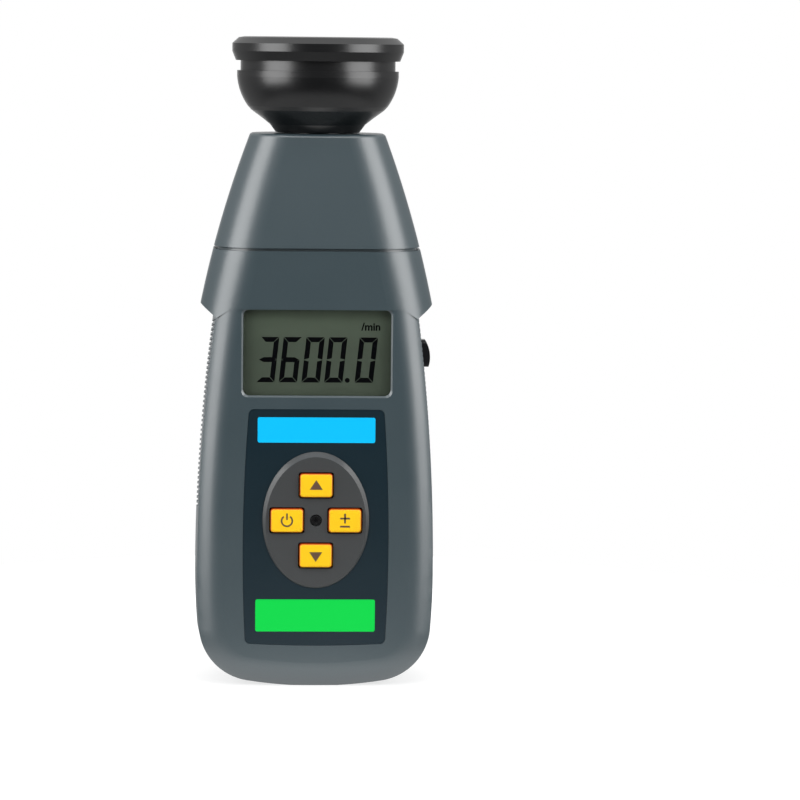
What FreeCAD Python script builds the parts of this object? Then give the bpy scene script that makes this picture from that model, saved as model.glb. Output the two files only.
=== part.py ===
import FreeCAD, Part
import math
import os

# Hand-held stroboscope, standing on its foot with the lamp on top.
# Millimetres. +Z runs up the instrument to the lamp, the keys face -Y,
# and the side button is on +X. The origin is under the lamp's axis.

V = FreeCAD.Vector

# Case, seen from the front
case_width = 74.4
case_depth = 37.0
case_height = 170.0
wall = 2.2
edge_radius = 13.0
front_round = 10.5
front_round_out = 2.8
side_lean = 1.0
widest_z = 34.5
side_radius = 595.0
lower_side_radius = 210.0
corner_radius = 17.5
bottom_radius = 131.0
foot_sink = 0.2
split_gap = 0.16

# Shoulder and nose
shoulder_z = 117.8
shoulder_step = 1.45
shoulder_proud = 0.35
shoulder_radius = 14.5
shoulder_merge = 2.0
step_half = 26.5
notch_rise = 3.9
notch_width = 5.0
seam_z = 135.0
seam_groove = 0.9
nose_top_half = 20.7
taper_bulge = 1.1
nose_seam_depth = 36.0
nose_top_depth = 29.2
nose_top_radius = 12.0
nose_rim_radius = 1.2
nose_section_count = 4

# Tongue of the nose inside the case
tongue_length = 4.0
tongue_wall = 1.2
tongue_inset = 1.2
tongue_clearance = 0.1

# Grip grooves on both sides
grip_low_z = 54.0
grip_pitch = 1.5
grip_depth = 0.4
grip_groove = 0.8
grip_tilt = 7.0
grip_front_reach = 14.6
grip_back_reach = 9.0

# Display
window_width = 45.2
window_height = 26.4
window_low_z = 90.4
window_corner = 2.0
window_lip = 1.7
window_thickness = 1.5
window_recess = 1.0
window_bevel = 0.5
window_clearance = 0.1
lcd_margin = 2.2
lcd_thickness = 2.8
lcd_gap = 0.3
frame_wall = 1.5
frame_ledge = 1.2
frame_clearance = 0.2
frame_depth_step = 1.0
frame_corner = 1.0
lcd_corner = 0.5
zebra_width = 2.2

# Overlay plate and its two labels
overlay_low_z = 13.7
overlay_high_z = 86.2
overlay_low_half = 21.5
overlay_wide_half = 22.3
overlay_high_half = 20.6
overlay_wide_z = 47.0
overlay_sag = 0.6
overlay_corner = 1.6
overlay_thickness = 0.5
overlay_recess = 0.6
overlay_clearance = 0.1
label_thickness = 0.15
label_proud = 0.02
label_corner = 0.6
blue_label_width = 36.0
blue_label_height = 7.8
blue_label_z = 79.9
green_label_width = 36.8
green_label_height = 10.0
green_label_z = 22.4

# Keypad
pad_z = 52.1
pad_width = 32.7
pad_height = 42.2
pad_proud_top = 1.5
pad_proud_bottom = 0.35
key_width = 10.5
key_height = 7.8
key_corner = 0.7
key_edge = 0.35
key_proud = 1.1
key_spread_x = 8.9
key_spread_z = 10.9
key_clearance = 0.2
key_flange = 1.05
key_flange_thickness = 1.0
key_stem_radius = 1.5
key_travel = 0.6
running_gap = 0.1
pad_screw_radius = 1.6
pad_screw_recess = 1.9
pad_screw_depth = 0.8
pad_screw_head = 0.6
pad_screw_length = 7.0

# Electronics
board_setback = 12.5
board_thickness = 1.6
board_side_gap = 8.7
board_low_z = 33.0
board_high_z = 121.5
switch_size = 6.0
switch_height = 3.5
plunger_radius = 1.75
plunger_length = 2.2
plunger_seat = 0.8
plunger_clearance = 0.1
post_radius = 3.0
board_post_inset = 3.0
board_post_z = (37.0, 81.5)

# Chip, crystal, capacitors and lamp driver on the main board
chip_size = 12.0
chip_height = 1.4
chip_x = -8.0
chip_z = 77.5
crystal_x = 12.0
crystal_width = 10.5
crystal_depth = 3.8
crystal_height = 3.5
crystal_flat = 0.04
can_radius = 3.0
can_height = 8.0
can_insets = (7.5, 15.0)
can_z = 98.0
transistor_x = 12.0
transistor_z = 90.5
transistor_width = 10.0
transistor_body = 9.0
transistor_height = 4.5
transistor_tab = 1.3
transistor_tab_length = 6.5
transistor_hole = 1.8

# Side button
button_z = 102.1
button_height = 8.4
button_width = 5.6
button_out = 2.1
button_arch = 0.9
button_corner = 1.2
button_travel = 1.2
button_flange = 1.0
button_flange_step = 1.2
button_seat_gap = 0.15
button_stem = 1.5
side_switch_length = 4.0

# Battery bay and cover
cell_radius = 7.25
cell_length = 50.5
cell_to_cover = 0.75
cell_gap = 0.15
cell_side_room = 7.0
bay_low_z = 15.0
bay_floor = 0.8
bay_wall = 1.5
bay_rim_y = 10.0
bay_web_count = 3
cell_tip_radius = 2.7
cell_tip_height = 1.0
cell_edge = 0.5
spring_length = 2.6
spring_radius = 3.2
spring_wire = 0.6
contact_thickness = 0.4
contact_width = 9.0
cover_tab = 11.5
cover_clearance = 0.2
cover_ledge = 1.5
cover_seat = 0.1
cover_corner = 4.0
cover_reach_y = 3.0
cover_screw_drop = 5.2
cover_cup_radius = 3.4
cover_cup_depth = 3.8
cover_cup_floor = 1.2
cover_screw_length = 8.0

# Screws
screw_radius = 1.3
screw_head_radius = 2.4
screw_head_height = 1.5
screw_clearance = 0.25
thread_clearance = 0.02
boss_radius = 3.4
low_screw_inset = 3.2
low_screw_z = 9.5
high_screw_side = 12.2
high_screw_z = 125.5
case_screw_seat_y = 10.0
case_screw_length = 20.0
nose_screw_spot = (13.0, 148.0)
nose_screw_seat_y = 8.0
nose_screw_length = 17.0
board_screw_radius = 1.0
board_screw_length = 9.0
board_screw_head = 2.0
screw_slot_width = 0.7
screw_slot_depth = 0.7
screw_slot_share = 0.6

# Lamp
neck_radius = 9.0
neck_clearance = 0.1
neck_flange_radius = 11.5
neck_flange_thickness = 2.0
cone_radii = (12.9, 14.7, 17.1, 20.5)
cone_rises = (0.3, 2.7, 4.6, 7.1)
bowl_low_radius = 21.6
bowl_low_rise = 8.3
cup_radius = 24.9
cup_low_rise = 17.3
cup_high_rise = 19.1
cup_bulge = 0.65
groove_radius = 23.85
bezel_low_rise = 22.2
bezel_low_radius = 25.3
bezel_radius = 26.4
bezel_band_low_rise = 25.0
bezel_band_high_rise = 27.4
bezel_shoulder_radius = 24.4
bezel_shoulder_rise = 29.2
bezel_top_radius = 22.6
bezel_top_rise = 29.5
bezel_bore_radius = 20.25
bezel_lip = 4.6
bezel_clearance = 0.05
cup_bore_radius = 19.4
cup_wall = 2.3
lamp_window_thickness = 2.0
lamp_window_clearance = 0.1
gasket_thickness = 0.5
lead_hole_radius = 5.0
led_board_thickness = 1.6
led_board_rise = 7.7
led_board_clearance = 0.2
led_radius = 2.5
led_flange_radius = 2.9
led_flange_height = 1.0
led_height = 8.6
led_rings = ((6, 7.65), (12, 15.3))

# Leads
lamp_lead_radius = 1.1
battery_lead_radius = 0.8
bend_share = 0.45
connector_depth = 5.0
connector_length = 6.0
lamp_socket_width = 10.0
lamp_socket_drop = 1.5
lamp_lead_bend_run = 12.0
battery_socket_width = 7.0
battery_lead_inset = 10.5
battery_lead_y = 3.0
battery_lead_run = 4.5
battery_lead_bend_run = 6.0

# Places that follow from the sizes above
front_y = -case_depth / 2
back_y = case_depth / 2
inner_front_y = front_y + wall
shoulder_half = case_width / 2 - shoulder_step
notch_low_z = shoulder_z - notch_rise
step_z = window_low_z + window_height
grip_count = int((notch_low_z - grip_low_z) / grip_pitch)
nose_z = case_height
board_front_y = front_y + board_setback
board_back_y = board_front_y + board_thickness
board_half = case_width / 2 - board_side_gap
board_post_x = board_half - board_post_inset
can_xs = [inset - board_half for inset in can_insets]
battery_lead_x = battery_lead_inset - board_half
low_screw_x = case_width / 2 - corner_radius - low_screw_inset
high_screw_x = case_width / 2 - high_screw_side
case_screw_spots = ((low_screw_x, low_screw_z), (high_screw_x, high_screw_z))
overlay_floor_y = front_y + overlay_recess
overlay_top_y = overlay_floor_y - overlay_thickness
bay_length = contact_thickness + spring_length + cell_length + contact_thickness
bay_high_z = bay_low_z + bay_length
cell_y = back_y - wall - cell_to_cover - cell_radius
cell_count = int((case_width / 2 - cell_side_room) / (cell_radius + cell_gap))
bay_half = cell_count * (cell_radius + cell_gap)
cover_screw_z = bay_high_z + bay_wall + cover_screw_drop
window_z = window_low_z + window_height / 2
window_front_y = front_y + window_recess
window_back_y = window_front_y + window_thickness
lcd_front_y = window_back_y + lcd_gap
lcd_back_y = lcd_front_y + lcd_thickness
frame_front_y = lcd_front_y + frame_depth_step
far = 300.0
near = 30.0
over = 1.0
parallel = 0.9
tiny = 0.01

parts = {}


def keep(name, shape):
    """Stores a finished piece under its node name."""
    parts[name] = shape


def block(x0, x1, y0, y1, z0, z1):
    return Part.makeBox(x1 - x0, y1 - y0, z1 - z0, V(x0, y0, z0))


def rod_y(radius, x, z, y0, y1):
    """A round bar along Y."""
    return Part.makeCylinder(radius, y1 - y0, V(x, y0, z), V(0, 1, 0))


def rod_x(radius, y, z, x0, x1):
    """A round bar along X."""
    return Part.makeCylinder(radius, x1 - x0, V(x0, y, z), V(1, 0, 0))


def ring(outer, inner, z0, z1):
    """A flat ring round the lamp's axis."""
    solid = Part.makeCylinder(outer, z1 - z0, V(0, 0, z0))
    if inner > 0:
        solid = solid.cut(Part.makeCylinder(inner, z1 - z0, V(0, 0, z0)))
    return solid


def fuse_all(shapes):
    first = shapes[0]
    if len(shapes) == 1:
        return first
    return first.multiFuse(shapes[1:]).removeSplitter()


def mirrored(point):
    return V(-point.x, point.y, point.z)


def rounded_plate(width, height, corner, x, z, y0, y1):
    """A plate facing Y with its four corners rounded."""
    plate = block(x - width / 2, x + width / 2, y0, y1, z - height / 2, z + height / 2)
    corners = [e for e in plate.Edges if abs(e.tangentAt(e.FirstParameter).y) > parallel]
    return plate.makeFillet(corner, corners)


def side_half(z, inset=0.0, lean=0.0):
    """Half width of the lower body at height z."""
    radius = side_radius if z >= widest_z else lower_side_radius
    centre_x = case_width / 2 - lean - radius
    return centre_x + math.sqrt((radius - inset) ** 2 - (z - widest_z) ** 2)


def taper_circle():
    """Centre and radius of the arc that the shoulder and the nose share."""
    low = V(shoulder_half, 0, shoulder_z)
    high = V(nose_top_half, 0, nose_z)
    chord = high - low
    radius = (chord.Length ** 2 / 4 + taper_bulge ** 2) / (2 * taper_bulge)
    outward = V(chord.z, 0, -chord.x).normalize()
    centre = (low + high) * 0.5 - outward * (radius - taper_bulge)
    return centre, radius


taper_centre, taper_radius = taper_circle()


def taper_half(z, inset=0.0):
    """Half width of the shoulder or nose at height z."""
    drop = z - taper_centre.z
    return taper_centre.x + math.sqrt((taper_radius - inset) ** 2 - drop ** 2)


def corner_centre(lean):
    """Centre of the bottom corner's arc, which touches the side and bottom arcs."""
    side_centre = V(case_width / 2 - lean - lower_side_radius, 0, widest_z)
    bottom_centre = V(0, 0, bottom_radius - foot_sink)
    reach_a = lower_side_radius - corner_radius
    reach_b = bottom_radius - corner_radius
    gap = bottom_centre - side_centre
    along = (gap.Length ** 2 + reach_a ** 2 - reach_b ** 2) / (2 * gap.Length)
    across = math.sqrt(reach_a ** 2 - along ** 2)
    unit = V(gap.x, gap.y, gap.z).normalize()
    centre = side_centre + unit * along + V(unit.z, 0, -unit.x) * across
    to_side = (centre - side_centre).normalize()
    to_bottom = (centre - bottom_centre).normalize()
    return centre, to_side, to_bottom


def body_outline(inset, top_z, lean=0.0):
    """Outline of the lower body, drawn in by inset, and at the sides by the lean too."""
    centre, to_side, to_bottom = corner_centre(lean)
    radius = corner_radius - inset
    middle = (to_side + to_bottom).normalize()
    top = V(side_half(top_z, inset, lean), 0, top_z)
    upper_middle_z = (top_z + widest_z) / 2
    upper_middle = V(side_half(upper_middle_z, inset, lean), 0, upper_middle_z)
    widest = V(case_width / 2 - lean - inset, 0, widest_z)
    corner_start = centre + to_side * radius
    lower_middle_z = (widest_z + corner_start.z) / 2
    lower_middle = V(side_half(lower_middle_z, inset, lean), 0, lower_middle_z)
    corner_middle = centre + middle * radius
    corner_end = centre + to_bottom * radius
    lowest = V(0, 0, inset - foot_sink)
    right = [
        (top, upper_middle, widest),
        (widest, lower_middle, corner_start),
        (corner_start, corner_middle, corner_end),
    ]
    edges = [Part.Arc(a, b, c).toShape() for a, b, c in right]
    edges.append(Part.Arc(corner_end, lowest, mirrored(corner_end)).toShape())
    for a, b, c in reversed(right):
        edges.append(Part.Arc(mirrored(c), mirrored(b), mirrored(a)).toShape())
    edges.append(Part.makeLine(mirrored(top), top))
    return Part.Wire(edges)


def rounded_slab(outline, reach, top_z, radius):
    """A slab from the middle plane to y = reach, with the edge of that end rounded."""
    slab = Part.Face(outline).extrude(V(0, reach, 0))
    rims = []
    for edge in slab.Edges:
        box = edge.BoundBox
        if abs(box.YMin - reach) < tiny and box.YLength < tiny and box.ZMin < top_z - tiny:
            rims.append(edge)
    return slab.makeFillet(radius, rims)


def back_body(inset, top_z):
    """The back half of the lower body, fully rounded into its sides."""
    return rounded_slab(body_outline(inset, top_z), back_y - inset, top_z, edge_radius - inset)


def front_body(inset, top_z):
    """The front half: its sides lean out from a crisp edge, where the rounded front stops short."""
    reach = front_y + inset
    foot = body_outline(inset, top_z)
    rim = body_outline(inset, top_z, side_lean)
    rim.translate(V(0, reach, 0))
    leaning = Part.makeLoft([foot, rim], True, True)
    wider = body_outline(inset - front_round_out, top_z, side_lean)
    return leaning.common(rounded_slab(wider, reach, top_z, front_round - inset))


def lower_body(inset, top_z):
    return front_body(inset, top_z).fuse(back_body(inset, top_z))


def section(z, half, front, back, radius):
    """A rounded rectangle at height z, from y = front to y = back."""
    k = radius * (1 - math.sqrt(0.5))
    r = radius
    corners = [
        (V(half, back - r, z), V(half - k, back - k, z), V(half - r, back, z)),
        (V(-half + r, back, z), V(-half + k, back - k, z), V(-half, back - r, z)),
        (V(-half, front + r, z), V(-half + k, front + k, z), V(-half + r, front, z)),
        (V(half - r, front, z), V(half - k, front + k, z), V(half, front + r, z)),
    ]
    edges = []
    for index, corner in enumerate(corners):
        edges.append(Part.Arc(*corner).toShape())
        following = corners[(index + 1) % len(corners)]
        edges.append(Part.makeLine(corner[2], following[0]))
    return Part.Wire(edges)


def shoulder_section(z, inset):
    """Section of the shoulder, which stands proud of the lower body in front."""
    front = front_y - shoulder_proud + inset
    back = back_y - inset
    return section(z, taper_half(z, inset), front, back, shoulder_radius - inset)


def above_notches(inset):
    """Everything above the shoulder's lower edge: level in front, with a notch at each side."""
    lift = inset * math.hypot(notch_width, notch_rise) / notch_width
    foot_x = shoulder_half - notch_width
    steps = far / notch_rise
    right = [
        V(step_half, -far, step_z + lift),
        V(foot_x, -far, notch_low_z + lift),
        V(foot_x + steps * notch_width, -far, notch_low_z + lift + far),
    ]
    points = right + [mirrored(point) for point in reversed(right)]
    points.append(points[0])
    return Part.Face(Part.makePolygon(points)).extrude(V(0, 2 * far, 0)), lift


def case_body(inset, top_z):
    """The lower body, and on it the shoulder, which ends below in two slanted notches."""
    middle_z = (notch_low_z + top_z) / 2
    heights = (notch_low_z, middle_z, top_z)
    block = Part.makeLoft([shoulder_section(z, inset) for z in heights], True, False)
    keeper, lift = above_notches(inset)
    merge_z = shoulder_z + shoulder_merge + lift
    return block.common(keeper).fuse(lower_body(inset, merge_z))


def nose_section(z, inset):
    """Section of the nose, whose depth shrinks towards its top."""
    share = (z - seam_z) / (nose_z - seam_z)
    depth = nose_seam_depth + (nose_top_depth - nose_seam_depth) * share
    radius = shoulder_radius + (nose_top_radius - shoulder_radius) * share
    half_depth = depth / 2 - inset
    return section(z, taper_half(z, inset), -half_depth, half_depth, radius - inset)


def nose_body(inset, low_z, high_z):
    step = (high_z - low_z) / (nose_section_count - 1)
    heights = [low_z + step * index for index in range(nose_section_count)]
    return Part.makeLoft([nose_section(z, inset) for z in heights], True, False)


def grip_grooves():
    """Fine grooves round both sides, which fall a little to the back and leave ribs between them."""
    core = lower_body(grip_depth, shoulder_z)
    front = -grip_front_reach
    back = grip_back_reach
    bars = []
    for index in range(grip_count):
        low = grip_low_z + index * grip_pitch
        high = low + grip_groove
        for bar in (block(case_width / 3, case_width, front, back, low, high),
                    block(-case_width, -case_width / 3, front, back, low, high)):
            bar.rotate(V(0, 0, low), V(1, 0, 0), -grip_tilt)
            bars.append(bar)
    return Part.makeCompound(bars).cut(core)


def front_half(shape):
    return shape.common(block(-far, far, -far, -split_gap / 2, -far, far))


def back_half(shape):
    return shape.common(block(-far, far, split_gap / 2, far, -far, far))


def each_side(spots):
    """Every spot, and the same spot mirrored to the other side."""
    both = []
    for x, z in spots:
        both.append((x, z))
        both.append((-x, z))
    return both


def overlay_outline(clearance):
    """The overlay's outline: bowed sides and a slightly bowed bottom."""
    low = overlay_low_z - clearance
    high = overlay_high_z + clearance
    low_corner = V(overlay_low_half + clearance, 0, low)
    high_corner = V(overlay_high_half + clearance, 0, high)
    side_middle = V(overlay_wide_half + clearance, 0, overlay_wide_z)
    bottom_middle = V(0, 0, low - overlay_sag)
    edges = [
        Part.Arc(low_corner, side_middle, high_corner).toShape(),
        Part.makeLine(high_corner, mirrored(high_corner)),
        Part.Arc(mirrored(high_corner), mirrored(side_middle), mirrored(low_corner)).toShape(),
        Part.Arc(mirrored(low_corner), bottom_middle, low_corner).toShape(),
    ]
    return Part.Wire(edges)


def overlay_solid(clearance, y0, y1):
    face = Part.Face(overlay_outline(clearance))
    face.translate(V(0, y0, 0))
    plate = face.extrude(V(0, y1 - y0, 0))
    corners = [e for e in plate.Edges if abs(e.tangentAt(e.FirstParameter).y) > parallel]
    return plate.makeFillet(overlay_corner + clearance, corners)


def ellipse_wire(width, height, y):
    """An upright ellipse facing Y, centred on the keypad."""
    curve = Part.Ellipse(V(0, y, pad_z + height / 2), V(width / 2, y, pad_z), V(0, y, pad_z))
    return Part.Wire([curve.toShape()])


def pad_surface_y(z):
    """Depth of the keypad bezel's sloping face at height z."""
    share = (z - pad_z) / pad_height + 0.5
    proud = pad_proud_bottom + (pad_proud_top - pad_proud_bottom) * share
    return overlay_top_y - proud


def pad_cone(clearance):
    """An oval block that narrows outwards, before its face is cut to a slope."""
    reach = pad_proud_top + overlay_thickness
    outer_y = overlay_floor_y - reach - over
    foot = ellipse_wire(pad_width + 2 * clearance, pad_height + 2 * clearance, overlay_top_y)
    taper = 2 * (overlay_top_y - outer_y)
    tip = ellipse_wire(pad_width + 2 * clearance - taper, pad_height + 2 * clearance - taper, outer_y)
    cone = Part.makeLoft([foot, tip], True, True)
    face = Part.Face(ellipse_wire(pad_width + 2 * clearance, pad_height + 2 * clearance, overlay_top_y))
    base = face.extrude(V(0, overlay_thickness, 0))
    return base, cone


def pad_slope_cutter():
    """Everything in front of the keypad bezel's sloping face."""
    low = pad_z - pad_height
    high = pad_z + pad_height
    points = [
        V(-far, pad_surface_y(low), low),
        V(-far, pad_surface_y(high), high),
        V(-far, -far, high),
        V(-far, -far, low),
        V(-far, pad_surface_y(low), low),
    ]
    return Part.Face(Part.makePolygon(points)).extrude(V(2 * far, 0, 0))


key_spots = {
    "up": (0.0, pad_z + key_spread_z),
    "down": (0.0, pad_z - key_spread_z),
    "power": (-key_spread_x, pad_z),
    "fine": (key_spread_x, pad_z),
}


def key_holes(y0, y1):
    width = key_width + 2 * key_clearance
    height = key_height + 2 * key_clearance
    corner = key_corner + key_clearance
    return [rounded_plate(width, height, corner, x, z, y0, y1) for x, z in key_spots.values()]


def switch_face_y():
    return board_front_y - switch_height


def plunger_front_y():
    return switch_face_y() + plunger_seat - plunger_length


def pad_screw_seat_y():
    return pad_surface_y(pad_z) + pad_screw_depth


def make_keypad():
    base, cone = pad_cone(0.0)
    bezel = base.fuse(cone).cut(pad_slope_cutter())
    for hole in key_holes(-near, 0.0):
        bezel = bezel.cut(hole)
    bezel = bezel.cut(rod_y(pad_screw_recess, 0, pad_z, -near, pad_screw_seat_y()))
    bezel = bezel.cut(rod_y(board_screw_radius + screw_clearance, 0, pad_z, -near, 0))
    keep("keypad_bezel", bezel.removeSplitter())

    flange_front_y = inner_front_y + running_gap
    flange_back_y = flange_front_y + key_flange_thickness
    for name, (x, z) in key_spots.items():
        top_y = pad_surface_y(z) - key_proud
        cap = rounded_plate(key_width, key_height, key_corner, x, z, top_y, flange_back_y)
        rim = [e for e in cap.Edges if abs(e.CenterOfMass.y - top_y) < tiny]
        cap = cap.makeFillet(key_edge, rim)
        flange_width = key_width + 2 * key_flange
        flange_height = key_height + 2 * key_flange
        flange = rounded_plate(flange_width, flange_height, key_corner, x, z, flange_front_y, flange_back_y)
        stem = rod_y(key_stem_radius, x, z, flange_back_y, plunger_front_y())
        keep("key_" + name, fuse_all([cap, flange, stem]))
        plunger = rod_y(plunger_radius, x, z, plunger_front_y(), plunger_front_y() + plunger_length)
        keep("plunger_" + name, plunger)

    seat_y = pad_screw_seat_y()
    head = rod_y(pad_screw_radius, 0, pad_z, seat_y - pad_screw_head, seat_y)
    circles = [e for e in head.Edges if isinstance(e.Curve, Part.Circle)]
    rim = [e for e in circles if abs(e.CenterOfMass.y - seat_y) > tiny]
    head = head.makeFillet(pad_screw_head / 2, rim)
    shank = rod_y(board_screw_radius, 0, pad_z, seat_y, seat_y + pad_screw_length)
    keep("keypad_screw", head.fuse(shank))


def window_plate(margin, y0, y1):
    width = window_width + 2 * margin
    height = window_height + 2 * margin
    return rounded_plate(width, height, window_corner, 0, window_z, y0, y1)


def window_bevel_cutter():
    """The sloping rim round the display opening."""
    outer = front_wire(window_plate(window_bevel, front_y, 0.0))
    inner = front_wire(window_plate(0.0, front_y + window_bevel, 0.0))
    return Part.makeLoft([outer, inner], True, True)


def front_wire(plate):
    """The outline of a plate's front face."""
    faces = sorted(plate.Faces, key=lambda face: face.CenterOfMass.y)
    return faces[0].OuterWire


def side_button_hole(clearance):
    width = button_width + 2 * clearance
    height = button_height + 2 * clearance
    hole = block(case_width / 3, case_width, -width / 2, width / 2,
                 button_z - height / 2, button_z + height / 2)
    edges = [e for e in hole.Edges if abs(e.tangentAt(e.FirstParameter).x) > parallel]
    return hole.makeFillet(button_corner + clearance, edges)


def case_room():
    """The inside of the case up to the middle of its wall, for pieces that fuse to it."""
    return case_body(wall / 2, seam_z - seam_groove)


def lcd_frame_size():
    """Inner width and height of the frame round the LCD panel."""
    grow = 2 * (lcd_margin + frame_clearance)
    return window_width + grow, window_height + grow


def display_cuts():
    """The display opening, its bevel, the window's seat and room for the panel and frame."""
    inner_w, inner_h = lcd_frame_size()
    room_w = inner_w + 2 * (frame_wall + frame_clearance)
    room_h = inner_h + 2 * (frame_wall + frame_clearance)
    return [
        window_plate(0.0, front_y - 3 * over, inner_front_y + over),
        window_plate(window_lip, window_front_y, inner_front_y + over),
        window_bevel_cutter(),
        rounded_plate(inner_w, inner_h, lcd_corner, 0, window_z,
                      lcd_front_y - frame_clearance, board_front_y),
        rounded_plate(room_w, room_h, frame_corner, 0, window_z,
                      frame_front_y - frame_clearance, board_front_y),
    ]


def make_front_case(shell):
    solid = front_half(shell)
    adds = []
    room = case_room()
    for x, z in each_side(case_screw_spots):
        adds.append(rod_y(boss_radius, x, z, front_y, -split_gap / 2).common(room))
    post_spots = each_side([(board_post_x, z) for z in board_post_z])
    for x, z in post_spots:
        adds.append(rod_y(post_radius, x, z, front_y, board_front_y).common(room))
    adds.append(rod_y(pad_post_radius(), 0, pad_z, front_y + wall / 2, board_front_y))
    solid = fuse_all([solid] + adds)

    cuts = []
    for x, z in each_side(case_screw_spots):
        end_y = case_screw_seat_y - case_screw_length
        cuts.append(rod_y(screw_radius + thread_clearance, x, z, end_y - over, over))
    for x, z in post_spots:
        end_y = board_back_y - board_screw_length
        cuts.append(rod_y(board_screw_radius + thread_clearance, x, z, end_y - over, over))
    pad_screw_end = pad_screw_seat_y() + pad_screw_length + over
    cuts.append(rod_y(board_screw_radius + thread_clearance, 0, pad_z, front_y - over, pad_screw_end))
    cuts.append(overlay_solid(overlay_clearance, front_y - over, overlay_floor_y))
    cuts.extend(key_holes(front_y - over, inner_front_y + over))
    cuts.extend(display_cuts())
    cuts.append(side_button_hole(key_clearance))
    for cut in cuts:
        solid = solid.cut(cut)
    keep("front_case", solid)


def pad_post_radius():
    """The centre post fills the space between the flanges of the two side keys."""
    inner_edge = key_spread_x - key_width / 2 - key_flange
    return inner_edge - 2 * key_clearance


def cover_box(margin, tab):
    """The block that bounds the battery cover, widened by margin and lengthened by its tab."""
    half = bay_half - bay_wall / 2 + margin
    low = bay_low_z - margin
    high = bay_high_z + margin + tab
    solid = block(-half, half, cover_reach_y, near, low, high)
    edges = [e for e in solid.Edges if abs(e.tangentAt(e.FirstParameter).y) > parallel]
    return solid.makeFillet(cover_corner, edges)


def cover_shape(clearance, seat):
    """Outer leaf, inner leaf and screw cup of the cover, grown by clearance for its opening."""
    skin = lower_body(0.0, shoulder_z)
    outer_leaf = skin.cut(lower_body(wall / 2 + seat, shoulder_z))
    outer_leaf = outer_leaf.common(cover_box(cover_ledge + clearance, cover_tab))
    inner_leaf = skin.cut(lower_body(wall, shoulder_z)).common(cover_box(clearance, 0.0))
    cup = rod_y(cover_cup_radius + clearance, 0, cover_screw_z, back_y - cover_cup_depth - clearance, back_y)
    return fuse_all([outer_leaf, inner_leaf, cup])


def make_cover():
    cover = cover_shape(0.0, 0.0)
    head_seat_y = back_y - cover_cup_depth + cover_cup_floor
    cover = cover.cut(rod_y(screw_head_radius + screw_clearance, 0, cover_screw_z, head_seat_y, far))
    cover = cover.cut(rod_y(screw_radius + screw_clearance, 0, cover_screw_z, 0, far))
    keep("battery_cover", cover)
    head = rod_y(screw_head_radius, 0, cover_screw_z, head_seat_y, head_seat_y + screw_head_height)
    shank = rod_y(screw_radius, 0, cover_screw_z, head_seat_y - cover_screw_length, head_seat_y)
    slot_floor = head_seat_y + screw_head_height - screw_slot_depth
    slot = block(-screw_head_radius, screw_head_radius, slot_floor, far,
                 cover_screw_z - screw_slot_width / 2, cover_screw_z + screw_slot_width / 2)
    keep("cover_screw", head.fuse(shank).cut(slot))


def bay_walls():
    """Floor, end walls, side walls and webs of the battery bay."""
    floor_y = cell_y - cell_radius - cell_gap - bay_floor
    low = bay_low_z - bay_wall
    high = bay_high_z + bay_wall
    outer_half = bay_half + bay_wall
    pieces = [block(-outer_half, outer_half, floor_y, bay_rim_y, low, high)]
    pieces.append(block(-far, far, floor_y, far, low, bay_low_z))
    pieces.append(block(-far, far, floor_y, far, bay_high_z, high))
    step = bay_length / (bay_web_count + 1)
    for index in range(bay_web_count):
        z = bay_low_z + step * (index + 1)
        pieces.append(block(bay_half, far, floor_y, bay_rim_y, z - bay_wall / 2, z + bay_wall / 2))
        pieces.append(block(-far, -bay_half, floor_y, bay_rim_y, z - bay_wall / 2, z + bay_wall / 2))
    walls = fuse_all(pieces)
    trough = block(-bay_half, bay_half, cell_y, far, bay_low_z, bay_high_z)
    walls = walls.cut(trough)
    for x in cell_places():
        groove = Part.makeCylinder(cell_radius + cell_gap, bay_length, V(x, cell_y, bay_low_z))
        walls = walls.cut(groove)
    return walls


def cell_places():
    pitch = 2 * (cell_radius + cell_gap)
    return [(index - (cell_count - 1) / 2) * pitch for index in range(cell_count)]


def make_rear_case(shell):
    solid = back_half(shell)
    room = case_room()
    bay = bay_walls().common(lower_body(wall / 2, shoulder_z))
    adds = [bay]
    for x, z in each_side(case_screw_spots):
        adds.append(rod_y(boss_radius, x, z, split_gap / 2, back_y).common(room))
    adds.append(rod_y(cover_cup_radius + wall, 0, cover_screw_z, cover_reach_y, back_y).common(room))
    solid = fuse_all([solid] + adds)

    cuts = [cover_shape(cover_clearance, cover_seat)]
    for x, z in each_side(case_screw_spots):
        cuts.append(rod_y(screw_radius + screw_clearance, x, z, -over, far))
        cuts.append(rod_y(screw_head_radius + screw_clearance, x, z, case_screw_seat_y, far))
    cuts.append(rod_y(screw_radius + thread_clearance, 0, cover_screw_z, cover_reach_y + over, back_y))
    cuts.append(side_button_hole(key_clearance))
    for cut in cuts:
        solid = solid.cut(cut)
    keep("rear_case", solid)


def make_case():
    top_z = seam_z - seam_groove / 2
    outer = case_body(0.0, top_z)
    inner = case_body(wall, top_z + over)
    rebate_low = seam_z - tongue_length - tongue_clearance
    rebate = shoulder_rebate(rebate_low, top_z + over)
    floor = block(-far, far, -far, far, -far, 0.0)
    shell = outer.cut(inner).cut(rebate).cut(floor)
    shell = shell.cut(grip_grooves())
    make_front_case(shell)
    make_rear_case(shell)


def shoulder_rebate(low_z, high_z):
    inset = tongue_inset - tongue_clearance
    sections = [shoulder_section(z, inset) for z in (low_z, high_z)]
    return Part.makeLoft(sections, True, True)


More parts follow.
